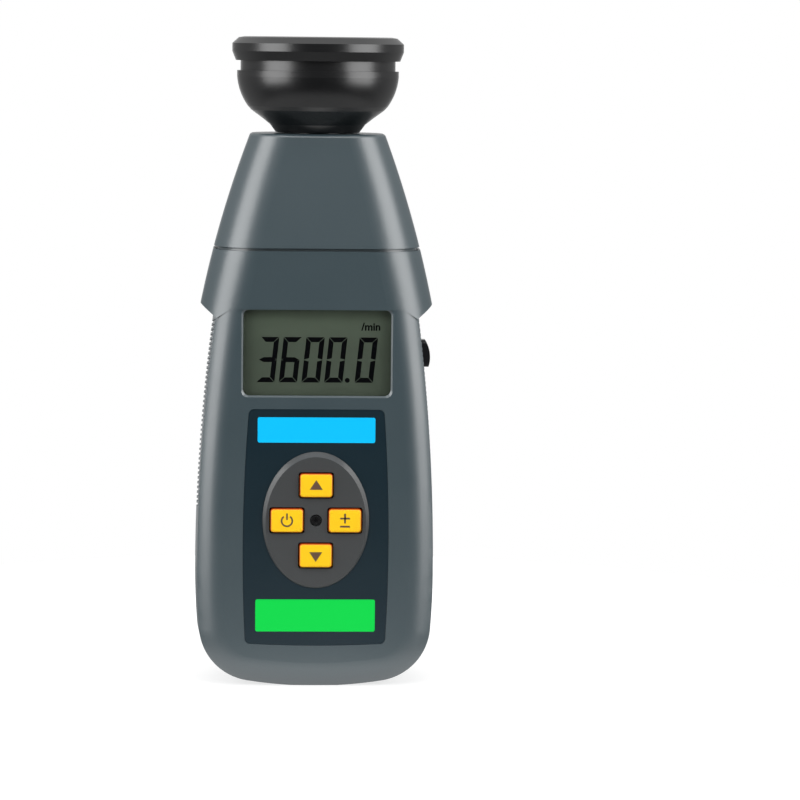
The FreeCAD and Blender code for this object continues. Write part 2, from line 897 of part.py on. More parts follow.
def make_nose():
    low_z = seam_z + seam_groove / 2
    outer = nose_body(0.0, low_z, nose_z)
    rim = [e for e in outer.Edges if e.BoundBox.ZMin > nose_z - tiny]
    outer = outer.makeFillet(nose_rim_radius, rim)
    inner = nose_body(wall, low_z - over, nose_z - wall)
    shell = outer.cut(inner)
    tongue_low = seam_z - tongue_length
    tongue_high = low_z + 2 * over
    tongue_outer = nose_body(tongue_inset, tongue_low, tongue_high)
    tongue_inner = nose_body(tongue_inset + tongue_wall, tongue_low - over, tongue_high + over)
    shell = shell.fuse(tongue_outer.cut(tongue_inner))
    shell = shell.cut(ring(neck_radius + neck_clearance, 0, nose_z - wall - over, nose_z + over))

    x, z = nose_screw_spot
    room = nose_body(wall / 2, low_z, nose_z - wall / 2)
    for name, half, y0, y1 in (("nose_front", front_half, -near, -split_gap / 2),
                               ("nose_rear", back_half, split_gap / 2, near)):
        solid = half(shell)
        bosses = [rod_y(boss_radius, side * x, z, y0, y1).common(room) for side in (1, -1)]
        solid = fuse_all([solid] + bosses)
        for side in (1, -1):
            if name == "nose_front":
                end_y = nose_screw_seat_y - nose_screw_length
                solid = solid.cut(rod_y(screw_radius + thread_clearance, side * x, z, end_y - over, over))
            else:
                solid = solid.cut(rod_y(screw_radius + screw_clearance, side * x, z, -over, far))
                seat = nose_screw_seat_y
                solid = solid.cut(rod_y(screw_head_radius + screw_clearance, side * x, z, seat, far))
        keep(name, solid)


def make_screws():
    heads = []
    for x, z in each_side(case_screw_spots):
        heads.append(screw(x, z, case_screw_seat_y, case_screw_length, screw_radius, screw_head_radius))
    keep("case_screws", Part.makeCompound(heads))
    heads = []
    for x, z in each_side([nose_screw_spot]):
        heads.append(screw(x, z, nose_screw_seat_y, nose_screw_length, screw_radius, screw_head_radius))
    keep("nose_screws", Part.makeCompound(heads))
    heads = []
    for x, z in each_side([(board_post_x, z) for z in board_post_z]):
        heads.append(screw(x, z, board_back_y, board_screw_length, board_screw_radius, board_screw_head))
    keep("board_screws", Part.makeCompound(heads))


def screw(x, z, seat_y, length, radius, head_radius):
    """A round-headed screw with a cross slot, driven from the back."""
    head = rod_y(head_radius, x, z, seat_y, seat_y + screw_head_height)
    shank = rod_y(radius, x, z, seat_y - length, seat_y)
    solid = head.fuse(shank)
    top = seat_y + screw_head_height
    arm = head_radius * screw_slot_share
    half = screw_slot_width / 2
    for dx, dz in ((arm, half), (half, arm)):
        solid = solid.cut(block(x - dx, x + dx, top - screw_slot_depth, top + over, z - dz, z + dz))
    return solid


def make_display():
    keep("display_window", window_plate(window_lip - window_clearance, window_front_y, window_back_y))
    keep("lcd_panel", rounded_plate(window_width + 2 * lcd_margin, window_height + 2 * lcd_margin,
                                    lcd_corner, 0, window_z, lcd_front_y, lcd_back_y))
    inner_w, inner_h = lcd_frame_size()
    outer_w = inner_w + 2 * frame_wall
    outer_h = inner_h + 2 * frame_wall
    frame = rounded_plate(outer_w, outer_h, frame_corner, 0, window_z, frame_front_y, board_front_y)
    frame = frame.cut(rounded_plate(inner_w, inner_h, lcd_corner, 0, window_z, -near, lcd_back_y))
    open_w = inner_w - 4 * frame_wall
    low = window_z - inner_h / 2 + frame_ledge / 2
    high = window_z + inner_h / 2 - 2 * frame_wall
    frame = frame.cut(block(-open_w / 2, open_w / 2, -near, near, low, high))
    keep("lcd_frame", frame)
    zebra_low = low + frame_clearance
    zebra = block(-open_w / 2 + frame_clearance, open_w / 2 - frame_clearance,
                  lcd_back_y, board_front_y, zebra_low, zebra_low + zebra_width)
    keep("zebra_strip", zebra)


def make_overlay():
    base, cone = pad_cone(overlay_clearance)
    plate = overlay_solid(0.0, overlay_top_y, overlay_floor_y).cut(base)
    for width, height, z in ((blue_label_width, blue_label_height, blue_label_z),
                             (green_label_width, green_label_height, green_label_z)):
        plate = plate.cut(rounded_plate(width, height, label_corner, 0, z,
                                        overlay_top_y - over, overlay_top_y + label_thickness))
    keep("overlay_plate", plate)
    for name, width, height, z in (("blue_label", blue_label_width, blue_label_height, blue_label_z),
                                   ("green_label", green_label_width, green_label_height, green_label_z)):
        keep(name, rounded_plate(width, height, label_corner, 0, z,
                                 overlay_top_y - label_proud, overlay_top_y + label_thickness))


def make_electronics():
    board = block(-board_half, board_half, board_front_y, board_back_y, board_low_z, board_high_z)
    for x, z in each_side([(board_post_x, z) for z in board_post_z]):
        board = board.cut(rod_y(board_screw_radius + screw_clearance, x, z, -near, 0))
    keep("main_board", board)

    switches = []
    for x, z in key_spots.values():
        half = switch_size / 2
        body = block(x - half, x + half, switch_face_y(), board_front_y, z - half, z + half)
        bore_end = switch_face_y() + plunger_seat + key_travel + plunger_clearance
        body = body.cut(rod_y(plunger_radius + plunger_clearance, x, z, switch_face_y() - over, bore_end))
        switches.append(body)
    keep("key_switches", Part.makeCompound(switches))

    half = chip_size / 2
    keep("main_chip", block(chip_x - half, chip_x + half, board_front_y - chip_height, board_front_y,
                            chip_z - half, chip_z + half))
    keep("crystal", rounded_plate(crystal_width, crystal_depth, crystal_depth / 2 - crystal_flat,
                                  crystal_x, chip_z, board_front_y - crystal_height, board_front_y))
    cans = [rod_y(can_radius, x, can_z, board_back_y, board_back_y + can_height) for x in can_xs]
    keep("capacitors", Part.makeCompound(cans))
    keep("driver_transistor", make_transistor())


def make_transistor():
    """The lamp's driver lies on its metal tab behind the board."""
    half = transistor_width / 2
    low = transistor_z - transistor_body / 2
    high = low + transistor_body
    body = block(transistor_x - half, transistor_x + half, board_back_y, board_back_y + transistor_height,
                 low, high)
    tab = block(transistor_x - half, transistor_x + half, board_back_y, board_back_y + transistor_tab,
                high, high + transistor_tab_length)
    hole = rod_y(transistor_hole, transistor_x, high + transistor_tab_length / 2, board_back_y - over, 0.0)
    return body.fuse(tab.cut(hole))


def make_side_button():
    face_x = side_half(button_z)
    flange_reach = button_height / 2 + button_flange_step
    flange_half = button_width / 2 + button_flange_step
    flange_lean = side_lean * flange_half / (back_y - wall)
    flange_out = side_half(button_z + flange_reach) - wall - flange_lean - button_seat_gap
    flange_in = flange_out - button_flange
    tip_x = flange_in - button_stem
    cap = side_button_hole(0.0)
    cap = cap.common(block(flange_in, face_x + button_out, -far, far, -far, far))
    half = button_height / 2
    arch_radius = (half ** 2 + button_arch ** 2) / (2 * button_arch)
    arch_z = button_z - arch_radius * (button_z - widest_z) / side_radius
    arch = Part.makeCylinder(arch_radius, button_width * 2,
                             V(face_x + button_out - arch_radius, -button_width, arch_z), V(0, 1, 0))
    cap = cap.common(arch)
    flange = block(flange_in, flange_out, -flange_half, flange_half,
                   button_z - flange_reach, button_z + flange_reach)
    stem = rod_x(key_stem_radius, 0, button_z, tip_x, flange_in)
    keep("side_button", fuse_all([cap, flange, stem]))
    plunger_in = tip_x - plunger_length - button_travel
    keep("side_plunger", rod_x(plunger_radius, 0, button_z, plunger_in, tip_x))
    switch_out = plunger_in + plunger_seat
    half_switch = switch_size / 2
    body = block(switch_out - side_switch_length, switch_out, board_back_y, half_switch,
                 button_z - half_switch, button_z + half_switch)
    bore_in = plunger_in - button_travel - plunger_clearance
    body = body.cut(rod_x(plunger_radius + plunger_clearance, 0, button_z, bore_in, switch_out + over))
    keep("side_switch", body)


def cell_base_z(index):
    """Cells alternate, so every other one stands on its spring."""
    low = bay_low_z + contact_thickness
    return low + spring_length if index % 2 else low


def make_cells():
    springs = []
    plates = []
    half = contact_width / 2
    for index, x in enumerate(cell_places()):
        base = cell_base_z(index)
        tip_up = index % 2
        body_low = base if tip_up else base + cell_tip_height
        tip_low = base + cell_length - cell_tip_height if tip_up else base
        body = Part.makeCylinder(cell_radius, cell_length - cell_tip_height, V(x, cell_y, body_low))
        ends = [e for e in body.Edges if isinstance(e.Curve, Part.Circle)]
        body = body.makeFillet(cell_edge, ends)
        tip = Part.makeCylinder(cell_tip_radius, cell_tip_height, V(x, cell_y, tip_low))
        keep("battery_cell_%d" % (index + 1), body.fuse(tip))
        spring_low = base - spring_length if tip_up else base + cell_length
        coil = Part.makeCylinder(spring_radius, spring_length, V(x, cell_y, spring_low))
        springs.append(coil.cut(Part.makeCylinder(spring_radius - spring_wire, spring_length,
                                                  V(x, cell_y, spring_low))))
        for low in (bay_low_z, bay_high_z - contact_thickness):
            plates.append(block(x - half, x + half, cell_y - half, cell_y + half,
                                low, low + contact_thickness))
    keep("contact_springs", Part.makeCompound(springs))
    keep("contact_plates", Part.makeCompound(plates))


def bent_tube(points, radius):
    """A tube along straight runs joined by tangent arcs."""
    edges = []
    start = points[0]
    for before, here, after in zip(points, points[1:], points[2:]):
        arriving = (here - before).normalize()
        leaving = (after - here).normalize()
        turn = arriving.getAngle(leaving)
        shorter = min((here - before).Length, (after - here).Length)
        cut_back = bend_share * shorter
        arc_start = here - arriving * cut_back
        arc_end = here + leaving * cut_back
        bend_radius = cut_back / math.tan(turn / 2)
        towards = (leaving - arriving).normalize()
        centre = here + towards * (bend_radius / math.cos(turn / 2))
        middle = centre - towards * bend_radius
        edges.append(Part.makeLine(start, arc_start))
        edges.append(Part.Arc(arc_start, middle, arc_end).toShape())
        print("bend radius", round(bend_radius, 1))
        start = arc_end
    edges.append(Part.makeLine(start, points[-1]))
    path = Part.Wire(edges)
    direction = (points[1] - points[0]).normalize()
    profile = Part.Wire([Part.makeCircle(radius, points[0], direction)])
    tube = path.makePipeShell([profile], True, False)
    expected = math.pi * radius ** 2 * path.Length
    print("tube volume over section times length", round(tube.Volume / expected, 3))
    return tube


def make_leads():
    board_z = nose_z + led_board_rise
    socket_top = board_high_z - lamp_socket_drop
    lamp_y = board_back_y + connector_depth / 2
    half = lamp_socket_width / 2
    keep("lamp_connector", block(-half, half, board_back_y, board_back_y + connector_depth,
                                 socket_top - connector_length, socket_top))
    bend_z = (board_z + socket_top) / 2
    run = lamp_lead_bend_run / 2
    points = [V(0, 0, board_z), V(0, 0, bend_z + run), V(0, lamp_y, bend_z - run), V(0, lamp_y, socket_top)]
    keep("lamp_lead", bent_tube(points, lamp_lead_radius))

    low = bay_high_z + bay_wall
    socket_y = board_back_y + connector_depth / 2
    socket_low = low + 2 * battery_lead_run + battery_lead_bend_run
    half = battery_socket_width / 2
    keep("battery_connector", block(battery_lead_x - half, battery_lead_x + half,
                                    board_back_y, board_back_y + connector_depth,
                                    socket_low, socket_low + connector_length))
    points = [
        V(battery_lead_x, battery_lead_y, low),
        V(battery_lead_x, battery_lead_y, low + battery_lead_run),
        V(battery_lead_x, socket_y, socket_low - battery_lead_run),
        V(battery_lead_x, socket_y, socket_low),
    ]
    keep("battery_lead", bent_tube(points, battery_lead_radius))


def revolved(points):
    """Turns a closed outline of (radius, rise) points round the lamp's axis."""
    edges = []
    for here, following in zip(points, points[1:] + points[:1]):
        edges.append(Part.makeLine(lamp_point(*here), lamp_point(*following)))
    return Part.Face(Part.Wire(edges)).revolve(V(0, 0, 0), V(0, 0, 1), 360)


def lamp_point(radius, rise):
    return V(radius, 0, nose_z + rise)


def make_lamp():
    window_top_rise = bezel_top_rise - bezel_lip
    window_low_rise = window_top_rise - lamp_window_thickness
    ledge_rise = window_low_rise - gasket_thickness
    cup_inner = groove_radius - cup_wall
    flange_top = -wall
    flange_low = flange_top - neck_flange_thickness
    floor_rise = led_board_rise

    outline = [
        (lead_hole_radius, flange_low),
        (neck_flange_radius, flange_low),
        (neck_flange_radius, flange_top),
        (neck_radius, flange_top),
        (neck_radius, cone_rises[0]),
    ]
    outline += list(zip(cone_radii, cone_rises))
    outline += [(bowl_low_radius, bowl_low_rise)]
    edges = []
    for here, following in zip(outline, outline[1:]):
        edges.append(Part.makeLine(lamp_point(*here), lamp_point(*following)))
    low = lamp_point(bowl_low_radius, bowl_low_rise)
    high = lamp_point(cup_radius, cup_low_rise)
    chord = high - low
    outward = V(chord.z, 0, -chord.x).normalize()
    middle = (low + high) * 0.5 + outward * cup_bulge
    edges.append(Part.Arc(low, middle, high).toShape())
    rest = [
        (cup_radius, cup_low_rise),
        (cup_radius, cup_high_rise),
        (groove_radius, cup_high_rise),
        (groove_radius, window_top_rise),
        (cup_inner, window_top_rise),
        (cup_inner, ledge_rise),
        (cup_bore_radius, ledge_rise),
        (cup_bore_radius, floor_rise),
        (lead_hole_radius, floor_rise),
        (lead_hole_radius, flange_low),
    ]
    for here, following in zip(rest, rest[1:]):
        edges.append(Part.makeLine(lamp_point(*here), lamp_point(*following)))
    face = Part.Face(Part.Wire(edges))
    keep("lamp_housing", face.revolve(V(0, 0, 0), V(0, 0, 1), 360))

    skirt_bore = groove_radius + bezel_clearance
    bezel = [
        (skirt_bore, bezel_low_rise),
        (bezel_low_radius, bezel_low_rise),
        (bezel_radius, bezel_band_low_rise),
        (bezel_radius, bezel_band_high_rise),
        (bezel_shoulder_radius, bezel_shoulder_rise),
        (bezel_top_radius, bezel_top_rise),
        (bezel_bore_radius, bezel_top_rise),
        (bezel_bore_radius, window_top_rise),
        (skirt_bore, window_top_rise),
    ]
    keep("lamp_bezel", revolved(bezel))

    window_radius = cup_inner - lamp_window_clearance
    keep("lamp_window", ring(window_radius, 0, nose_z + window_low_rise, nose_z + window_top_rise))
    keep("window_gasket", ring(window_radius, cup_bore_radius, nose_z + ledge_rise, nose_z + window_low_rise))

    board_low = nose_z + led_board_rise
    board_high = board_low + led_board_thickness
    keep("led_board", ring(cup_bore_radius - led_board_clearance, 0, board_low, board_high))
    leds = []
    for count, radius in led_rings:
        for index in range(count):
            angle = 2 * math.pi * (index + 0.5) / count
            leds.append(led(radius * math.cos(angle), radius * math.sin(angle), board_high))
    keep("leds", Part.makeCompound(leds))


def led(x, y, z):
    """A clear round lamp: a flange, a body and a domed end."""
    flange = Part.makeCylinder(led_flange_radius, led_flange_height, V(x, y, z))
    body_height = led_height - led_radius
    body = Part.makeCylinder(led_radius, body_height, V(x, y, z))
    dome = Part.makeSphere(led_radius, V(x, y, z + body_height))
    return fuse_all([flange, body, dome])


def write_parts():
    os.makedirs("parts", exist_ok=True)
    for name, shape in parts.items():
        solids = shape.Solids
        volume = sum(solid.Volume for solid in solids)
        print(name, len(solids), "solid(s)", round(volume, 1), "mm3", "valid", shape.isValid())
        shape.exportStep("parts/" + name + ".step")


def main():
    make_case()
    make_nose()
    make_lamp()
    make_display()
    make_overlay()
    make_keypad()
    make_electronics()
    make_side_button()
    make_cover()
    make_cells()
    make_leads()
    make_screws()
    write_parts()


main()
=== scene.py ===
# %% [markdown]
# # A hand-held stroboscope
# The instrument is a satin grey case with a black lamp head on top. A frame holds every piece at its
# real size and place. This lesson adds what a frame can't show: the finishes, the soft light of a
# photo studio, and the small things that the eye looks for, such as digits, lamps and screw heads.

# %% Load the frame
import math

import bmesh
import bpy
from mathutils import Matrix, Vector


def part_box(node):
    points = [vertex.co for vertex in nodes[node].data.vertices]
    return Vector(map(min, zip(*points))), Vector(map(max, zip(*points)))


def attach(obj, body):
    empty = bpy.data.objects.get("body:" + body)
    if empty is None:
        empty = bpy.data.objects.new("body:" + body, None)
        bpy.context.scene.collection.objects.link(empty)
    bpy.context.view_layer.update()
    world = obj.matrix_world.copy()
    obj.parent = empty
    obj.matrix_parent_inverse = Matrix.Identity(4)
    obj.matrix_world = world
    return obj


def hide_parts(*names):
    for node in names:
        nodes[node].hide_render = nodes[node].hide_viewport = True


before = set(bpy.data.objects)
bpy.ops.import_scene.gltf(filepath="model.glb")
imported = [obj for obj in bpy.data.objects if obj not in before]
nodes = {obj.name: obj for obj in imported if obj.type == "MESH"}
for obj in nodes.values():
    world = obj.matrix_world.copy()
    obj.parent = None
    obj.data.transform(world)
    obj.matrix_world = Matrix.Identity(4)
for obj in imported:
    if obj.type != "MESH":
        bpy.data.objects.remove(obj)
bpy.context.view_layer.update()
MM = 0.001

# %% [markdown]
# ## Colours
# Blender computes with light, so it wants linear colours. People pick colours on a screen,
# from 0 to 255 a channel. One small function turns the second kind into the first.


# %% Screen colours
def screen_colour(red, green, blue):
    """A colour as a paint program shows it, turned into Blender's linear colour."""
    linear = []
    for value in (red, green, blue):
        share = value / 255
        if share <= 0.04045:
            linear.append(share / 12.92)
        else:
            linear.append(((share + 0.055) / 1.055) ** 2.4)
    return (*linear, 1.0)


def scaled(colour, factor):
    """The same colour, darker or brighter, but never above full."""
    return tuple(min(1.0, channel * factor) for channel in colour[:3]) + (1.0,)


print("Screen grey 128 is", round(screen_colour(128, 128, 128)[0], 3), "in linear light")


# %% [markdown]
# ## Shared effects
# Most of these surfaces are moulded plastic, and they share the same small faults: a fine grain from
# the mould and a slow unevenness in the gloss. Their edges also get a painted highlight, a paler colour
# where they would catch more light. Painting a picture for each would tie it to one size, so nodes
# compute them. Each effect is a node group, built once. It puts out only masks and heights, so any
# material can use it in its own way.


# %% A frame for node groups
def new_group(name, inputs, outputs):
    """An empty shader group with named number sockets, and one vector input."""
    group = bpy.data.node_groups.new(name, "ShaderNodeTree")
    group.interface.new_socket("Vector", in_out="INPUT", socket_type="NodeSocketVector")
    for socket, value in inputs.items():
        made = group.interface.new_socket(socket, in_out="INPUT", socket_type="NodeSocketFloat")
        made.default_value = value
    for socket in outputs:
        group.interface.new_socket(socket, in_out="OUTPUT", socket_type="NodeSocketFloat")
    start = group.nodes.new("NodeGroupInput")
    end = group.nodes.new("NodeGroupOutput")
    return group, start, end


def math_node(tree, operation, first, second=None, clamp=False):
    """A Math node whose inputs are sockets or plain numbers."""
    node = tree.nodes.new("ShaderNodeMath")
    node.operation = operation
    node.use_clamp = clamp
    for index, value in enumerate((first, second)):
        if value is None:
            continue
        if isinstance(value, (int, float)):
            node.inputs[index].default_value = value
        else:
            tree.links.new(value, node.inputs[index])
    return node.outputs[0]


def noise_node(tree, vector, scale, detail=2.0, roughness=0.5):
    """A Noise texture at a scale that is a number or a socket."""
    node = tree.nodes.new("ShaderNodeTexNoise")
    node.inputs["Detail"].default_value = detail
    node.inputs["Roughness"].default_value = roughness
    tree.links.new(vector, node.inputs["Vector"])
    if isinstance(scale, (int, float)):
        node.inputs["Scale"].default_value = scale
    else:
        tree.links.new(scale, node.inputs["Scale"])
    return node.outputs["Fac"]


# %% Mould grain
def build_mould_grain():
    group, start, end = new_group("mould_grain", {"Grains per metre": 4000.0}, ("Height", "Speck"))
    cells = group.nodes.new("ShaderNodeTexVoronoi")
    cells.feature = "SMOOTH_F1"
    group.links.new(start.outputs["Vector"], cells.inputs["Vector"])
    group.links.new(start.outputs["Grains per metre"], cells.inputs["Scale"])
    fine = noise_node(group, start.outputs["Vector"], start.outputs["Grains per metre"], 3.0, 0.6)
    height = math_node(group, "ADD", cells.outputs["Distance"], fine)
    group.links.new(math_node(group, "MULTIPLY", height, 0.5), end.inputs["Height"])
    bright = math_node(group, "SUBTRACT", fine, 0.5)
    group.links.new(math_node(group, "MULTIPLY", bright, 2.0), end.inputs["Speck"])
    return group


mould_grain = build_mould_grain()


# %% Slow unevenness
def build_mottle():
    group, start, end = new_group("mottle", {"Patches per metre": 60.0}, ("Patch",))
    patches = noise_node(group, start.outputs["Vector"], start.outputs["Patches per metre"], 4.0, 0.6)
    centred = math_node(group, "SUBTRACT", patches, 0.5)
    group.links.new(math_node(group, "MULTIPLY", centred, 2.0), end.inputs["Patch"])
    return group


mottle = build_mottle()


# %% Edges that catch the light
def build_painted_edge_highlight():
    """Compares the surface with a rounded copy of it: where the two differ, there is an edge."""
    group, start, end = new_group("painted_edge_highlight", {"Radius": 0.0004, "Wear": 1.0}, ("Edge",))
    rounded = group.nodes.new("ShaderNodeBevel")
    rounded.samples = 4
    group.links.new(start.outputs["Radius"], rounded.inputs["Radius"])
    surface = group.nodes.new("ShaderNodeNewGeometry")
    agree = group.nodes.new("ShaderNodeVectorMath")
    agree.operation = "DOT_PRODUCT"
    group.links.new(rounded.outputs["Normal"], agree.inputs[0])
    group.links.new(surface.outputs["Normal"], agree.inputs[1])
    differ = math_node(group, "SUBTRACT", 1.0, agree.outputs["Value"], clamp=True)
    stronger = math_node(group, "MULTIPLY", differ, 4.0, clamp=True)
    broken = noise_node(group, start.outputs["Vector"], 900.0, 2.0)
    highlighted = math_node(group, "MULTIPLY", stronger, broken)
    group.links.new(math_node(group, "MULTIPLY", highlighted, start.outputs["Wear"], clamp=True), end.inputs["Edge"])
    return group


painted_edge_highlight = build_painted_edge_highlight()
print("Shared effects:", [group.name for group in bpy.data.node_groups])


# %% [markdown]
# ## Moulded plastic
# One function makes every moulded or painted finish. The Principled shader stays in the material,
# and the numbers that are the same all over are typed on its own sockets. Only what changes over
# the surface comes through nodes: the colour's specks and its painted highlight on edges, the gloss
# and the grain's bump.


# %% Material helpers
def new_material(name):
    """A material with one Principled shader, its node tree and the place on the surface."""
    material = bpy.data.materials.new(name)
    material.use_nodes = True
    tree = material.node_tree
    tree.nodes.clear()
    shader = tree.nodes.new("ShaderNodeBsdfPrincipled")
    output = tree.nodes.new("ShaderNodeOutputMaterial")
    tree.links.new(shader.outputs["BSDF"], output.inputs["Surface"])
    place = tree.nodes.new("ShaderNodeTexCoord").outputs["Object"]
    print("finish", name)
    return material, tree, shader, place


def use_group(tree, group, place, **values):
    """One of the shared effects, with its own values."""
    node = tree.nodes.new("ShaderNodeGroup")
    node.node_tree = group
    tree.links.new(place, node.inputs["Vector"])
    for socket, value in values.items():
        node.inputs[socket.replace("_", " ")].default_value = value
    return node.outputs


def colour_mix(tree, amount, first, second):
    """A blend of two colours. Each is a socket or a plain colour."""
    node = tree.nodes.new("ShaderNodeMix")
    node.data_type = "RGBA"
    tree.links.new(amount, node.inputs["Factor"])
    for socket, value in (("A", first), ("B", second)):
        found = [item for item in node.inputs if item.name == socket and item.type == "RGBA"][0]
        if isinstance(value, tuple):
            found.default_value = value
        else:
            tree.links.new(value, found)
    return [item for item in node.outputs if item.type == "RGBA"][0]


def axes_of(tree, vector):
    """The X, Y and Z of a vector, as sockets."""
    split = tree.nodes.new("ShaderNodeSeparateXYZ")
    tree.links.new(vector, split.inputs[0])
    return split.outputs


def spread(tree, value, low, high):
    """Turns a value from -1 to 1 into one from low to high."""
    half = (high - low) / 2
    return math_node(tree, "ADD", math_node(tree, "MULTIPLY", value, half), low + half)


def bump(tree, shader, height, depth):
    """Lets a height tilt the light by as much as a relief of that depth would."""
    node = tree.nodes.new("ShaderNodeBump")
    node.inputs["Distance"].default_value = depth
    node.inputs["Strength"].default_value = 1.0
    tree.links.new(height, node.inputs["Height"])
    tree.links.new(node.outputs["Normal"], shader.inputs["Normal"])


def ramp(tree, value, start, full, low, high):
    """Eases from low to high while the value goes from start to full."""
    node = tree.nodes.new("ShaderNodeMapRange")
    node.interpolation_type = "SMOOTHSTEP"
    node.inputs["From Min"].default_value = start
    node.inputs["From Max"].default_value = full
    node.inputs["To Min"].default_value = low
    node.inputs["To Max"].default_value = high
    tree.links.new(value, node.inputs["Value"])
    return node.outputs["Result"]


edge_width = 0.4 * MM


def plastic(name, colour, gloss=0.4, uneven=0.05, grain=4000.0, depth=0.00001, speck=0.1, wear=0.3,
            ior=1.5, metallic=0.0, shine=0.5):
    """Moulded or painted plastic, or metal. A low gloss value is shiny. Speck is how far its colour
    wanders. The number for edges sets a painted highlight: how much paler the edges are painted, where
    they would catch the light."""
    material, tree, shader, place = new_material(name)
    grains = use_group(tree, mould_grain, place, Grains_per_metre=grain)
    patches = use_group(tree, mottle, place, Patches_per_metre=60.0)
    edges = use_group(tree, painted_edge_highlight, place, Radius=edge_width, Wear=wear)
    share = spread(tree, grains["Speck"], 0.0, 1.0)
    speckled = colour_mix(tree, share, scaled(colour, 1.0 - speck), scaled(colour, 1.0 + speck))
    # Painted highlight: along the edge mask the colour is mixed towards a copy twice as bright.
    lit = colour_mix(tree, edges["Edge"], speckled, scaled(colour, 2.0))
    tree.links.new(lit, shader.inputs["Base Color"])
    tree.links.new(spread(tree, patches["Patch"], gloss - uneven, gloss + uneven), shader.inputs["Roughness"])
    bump(tree, shader, grains["Height"], depth)
    shader.inputs["Metallic"].default_value = metallic
    shader.inputs["IOR"].default_value = ior
    shader.inputs["Specular IOR Level"].default_value = shine
    return material


# %% [markdown]
# ## The case and its trim
# The case is grey plastic with a little metal powder in it. The powder makes the broad, soft bands of
# light on the rounded edges, so this finish gets a higher index of refraction than plain plastic and
# fine bright specks. A plain paint look would be flat grey here. The printed plate, the oval pad and
# the lamp head are darker, and the labels are the flattest and brightest prints.

# %% Case finishes
finish = {}


def add_finish(name, red, green, blue, **numbers):
    """A screen colour, and the numbers that differ from plain plastic."""
    finish[name] = plastic(name, screen_colour(red, green, blue), **numbers)


add_finish("case_grey", 50, 66, 72, gloss=0.36, uneven=0.04, grain=3200.0, depth=0.000012, speck=0.14,
           wear=0.25, ior=2.0)
add_finish("lamp_black", 6, 7, 9, gloss=0.3, uneven=0.04, grain=5000.0, depth=0.000006, wear=0.2,
           ior=1.75)
add_finish("overlay_dark", 4, 30, 40, gloss=0.34, uneven=0.04, grain=2600.0, depth=0.000014, speck=0.3,
           wear=0.2, ior=1.6)
add_finish("pad_grey", 64, 66, 67, gloss=0.32, uneven=0.04, grain=3600.0, depth=0.000008, speck=0.12,
           wear=0.5, ior=1.6)
add_finish("label_blue", 0, 192, 252, gloss=0.4, uneven=0.03, grain=2600.0, depth=0.000004, speck=0.03,
           wear=0.1, shine=0.3)
add_finish("label_green", 0, 214, 74, gloss=0.4, uneven=0.03, grain=2600.0, depth=0.000004, speck=0.03,
           wear=0.1, shine=0.3)
add_finish("button_black", 20, 21, 24, gloss=0.3, depth=0.000006, wear=0.4)
add_finish("seal_rubber", 22, 22, 22, gloss=0.7, uneven=0.08, grain=2500.0, depth=0.00002, speck=0.2,
           wear=0.0)

# %% [markdown]
# ## Inside pieces
# The boards, the cells and the switches show only when the cover is off, but each still gets its own
# finish. The function for plastic serves most of them, because a finish is its numbers.

# %% Inside finishes
add_finish("frame_white", 214, 214, 208, gloss=0.45, speck=0.02, wear=0.0)
add_finish("plunger_black", 28, 28, 30, gloss=0.45)
add_finish("switch_body", 40, 40, 42, gloss=0.45)
add_finish("chip_black", 26, 26, 28, gloss=0.55, grain=6000.0, speck=0.3)
add_finish("capacitor_sleeve", 26, 34, 60, gloss=0.3, speck=0.05)
add_finish("lead_red", 186, 24, 20, gloss=0.4, speck=0.05)
add_finish("black_steel", 26, 26, 28, gloss=0.35, uneven=0.08, grain=6000.0, speck=0.2, wear=0.5,
           metallic=0.6)
add_finish("screw_steel", 176, 176, 172, gloss=0.32, uneven=0.08, grain=6000.0, depth=0.000004,
           speck=0.06, wear=0.2, metallic=1.0)
add_finish("bright_metal", 206, 206, 200, gloss=0.26, uneven=0.06, grain=6000.0, depth=0.000004,
           speck=0.05, wear=0.0, metallic=1.0)


# %% [markdown]
# ## Circuit boards
# A board is glass fibre under green lacquer, and its copper tracks show through as paler lines. Real
# tracks run square to each other, and so do the joints of a brick pattern, which serve as tracks here.

# %% Board finish
def board_finish():
    material, tree, shader, place = new_material("board_green")
    tracks = tree.nodes.new("ShaderNodeTexBrick")
    tracks.inputs["Scale"].default_value = 160.0
    tracks.inputs["Mortar Size"].default_value = 0.06
    tracks.inputs["Mortar Smooth"].default_value = 0.2
    tree.links.new(place, tracks.inputs["Vector"])
    weave = use_group(tree, mould_grain, place, Grains_per_metre=1500.0)
    lacquer = screen_colour(16, 92, 62)
    cloth = spread(tree, weave["Speck"], 0.0, 1.0)
    green = colour_mix(tree, cloth, scaled(lacquer, 0.8), scaled(lacquer, 1.2))
    tree.links.new(colour_mix(tree, tracks.outputs["Fac"], green, screen_colour(44, 132, 90)),
                   shader.inputs["Base Color"])
    shader.inputs["Roughness"].default_value = 0.3
    bump(tree, shader, tracks.outputs["Fac"], 0.00003)
    return material


finish["board_green"] = board_finish()


# %% [markdown]
# ## Battery cells
# A cell is a steel can in a printed sleeve that stops short of both ends. The sleeve could be a tube
# of its own, but it is thin as a hair. So the finish asks how high a point is, and mixes steel in at
# the ends.

# %% Cell finish
bare_end = 2.2 * MM
pale_end = 9.0 * MM


def cell_finish():
    material, tree, shader, place = new_material("cell_jacket")
    axes = axes_of(tree, place)
    low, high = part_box("battery_cell_1")
    middle = (low.z + high.z) / 2
    reach = (high.z - low.z) / 2
    away = math_node(tree, "ABSOLUTE", math_node(tree, "SUBTRACT", axes["Z"], middle))
    end_band = math_node(tree, "GREATER_THAN", away, reach - bare_end)
    stripe = math_node(tree, "GREATER_THAN", away, reach - pale_end)
    sleeve = colour_mix(tree, stripe, screen_colour(40, 60, 96), screen_colour(196, 198, 200))
    whole = colour_mix(tree, end_band, sleeve, screen_colour(190, 190, 186))
    tree.links.new(whole, shader.inputs["Base Color"])
    tree.links.new(end_band, shader.inputs["Metallic"])
    shader.inputs["Roughness"].default_value = 0.32
    return material


finish["cell_jacket"] = cell_finish()


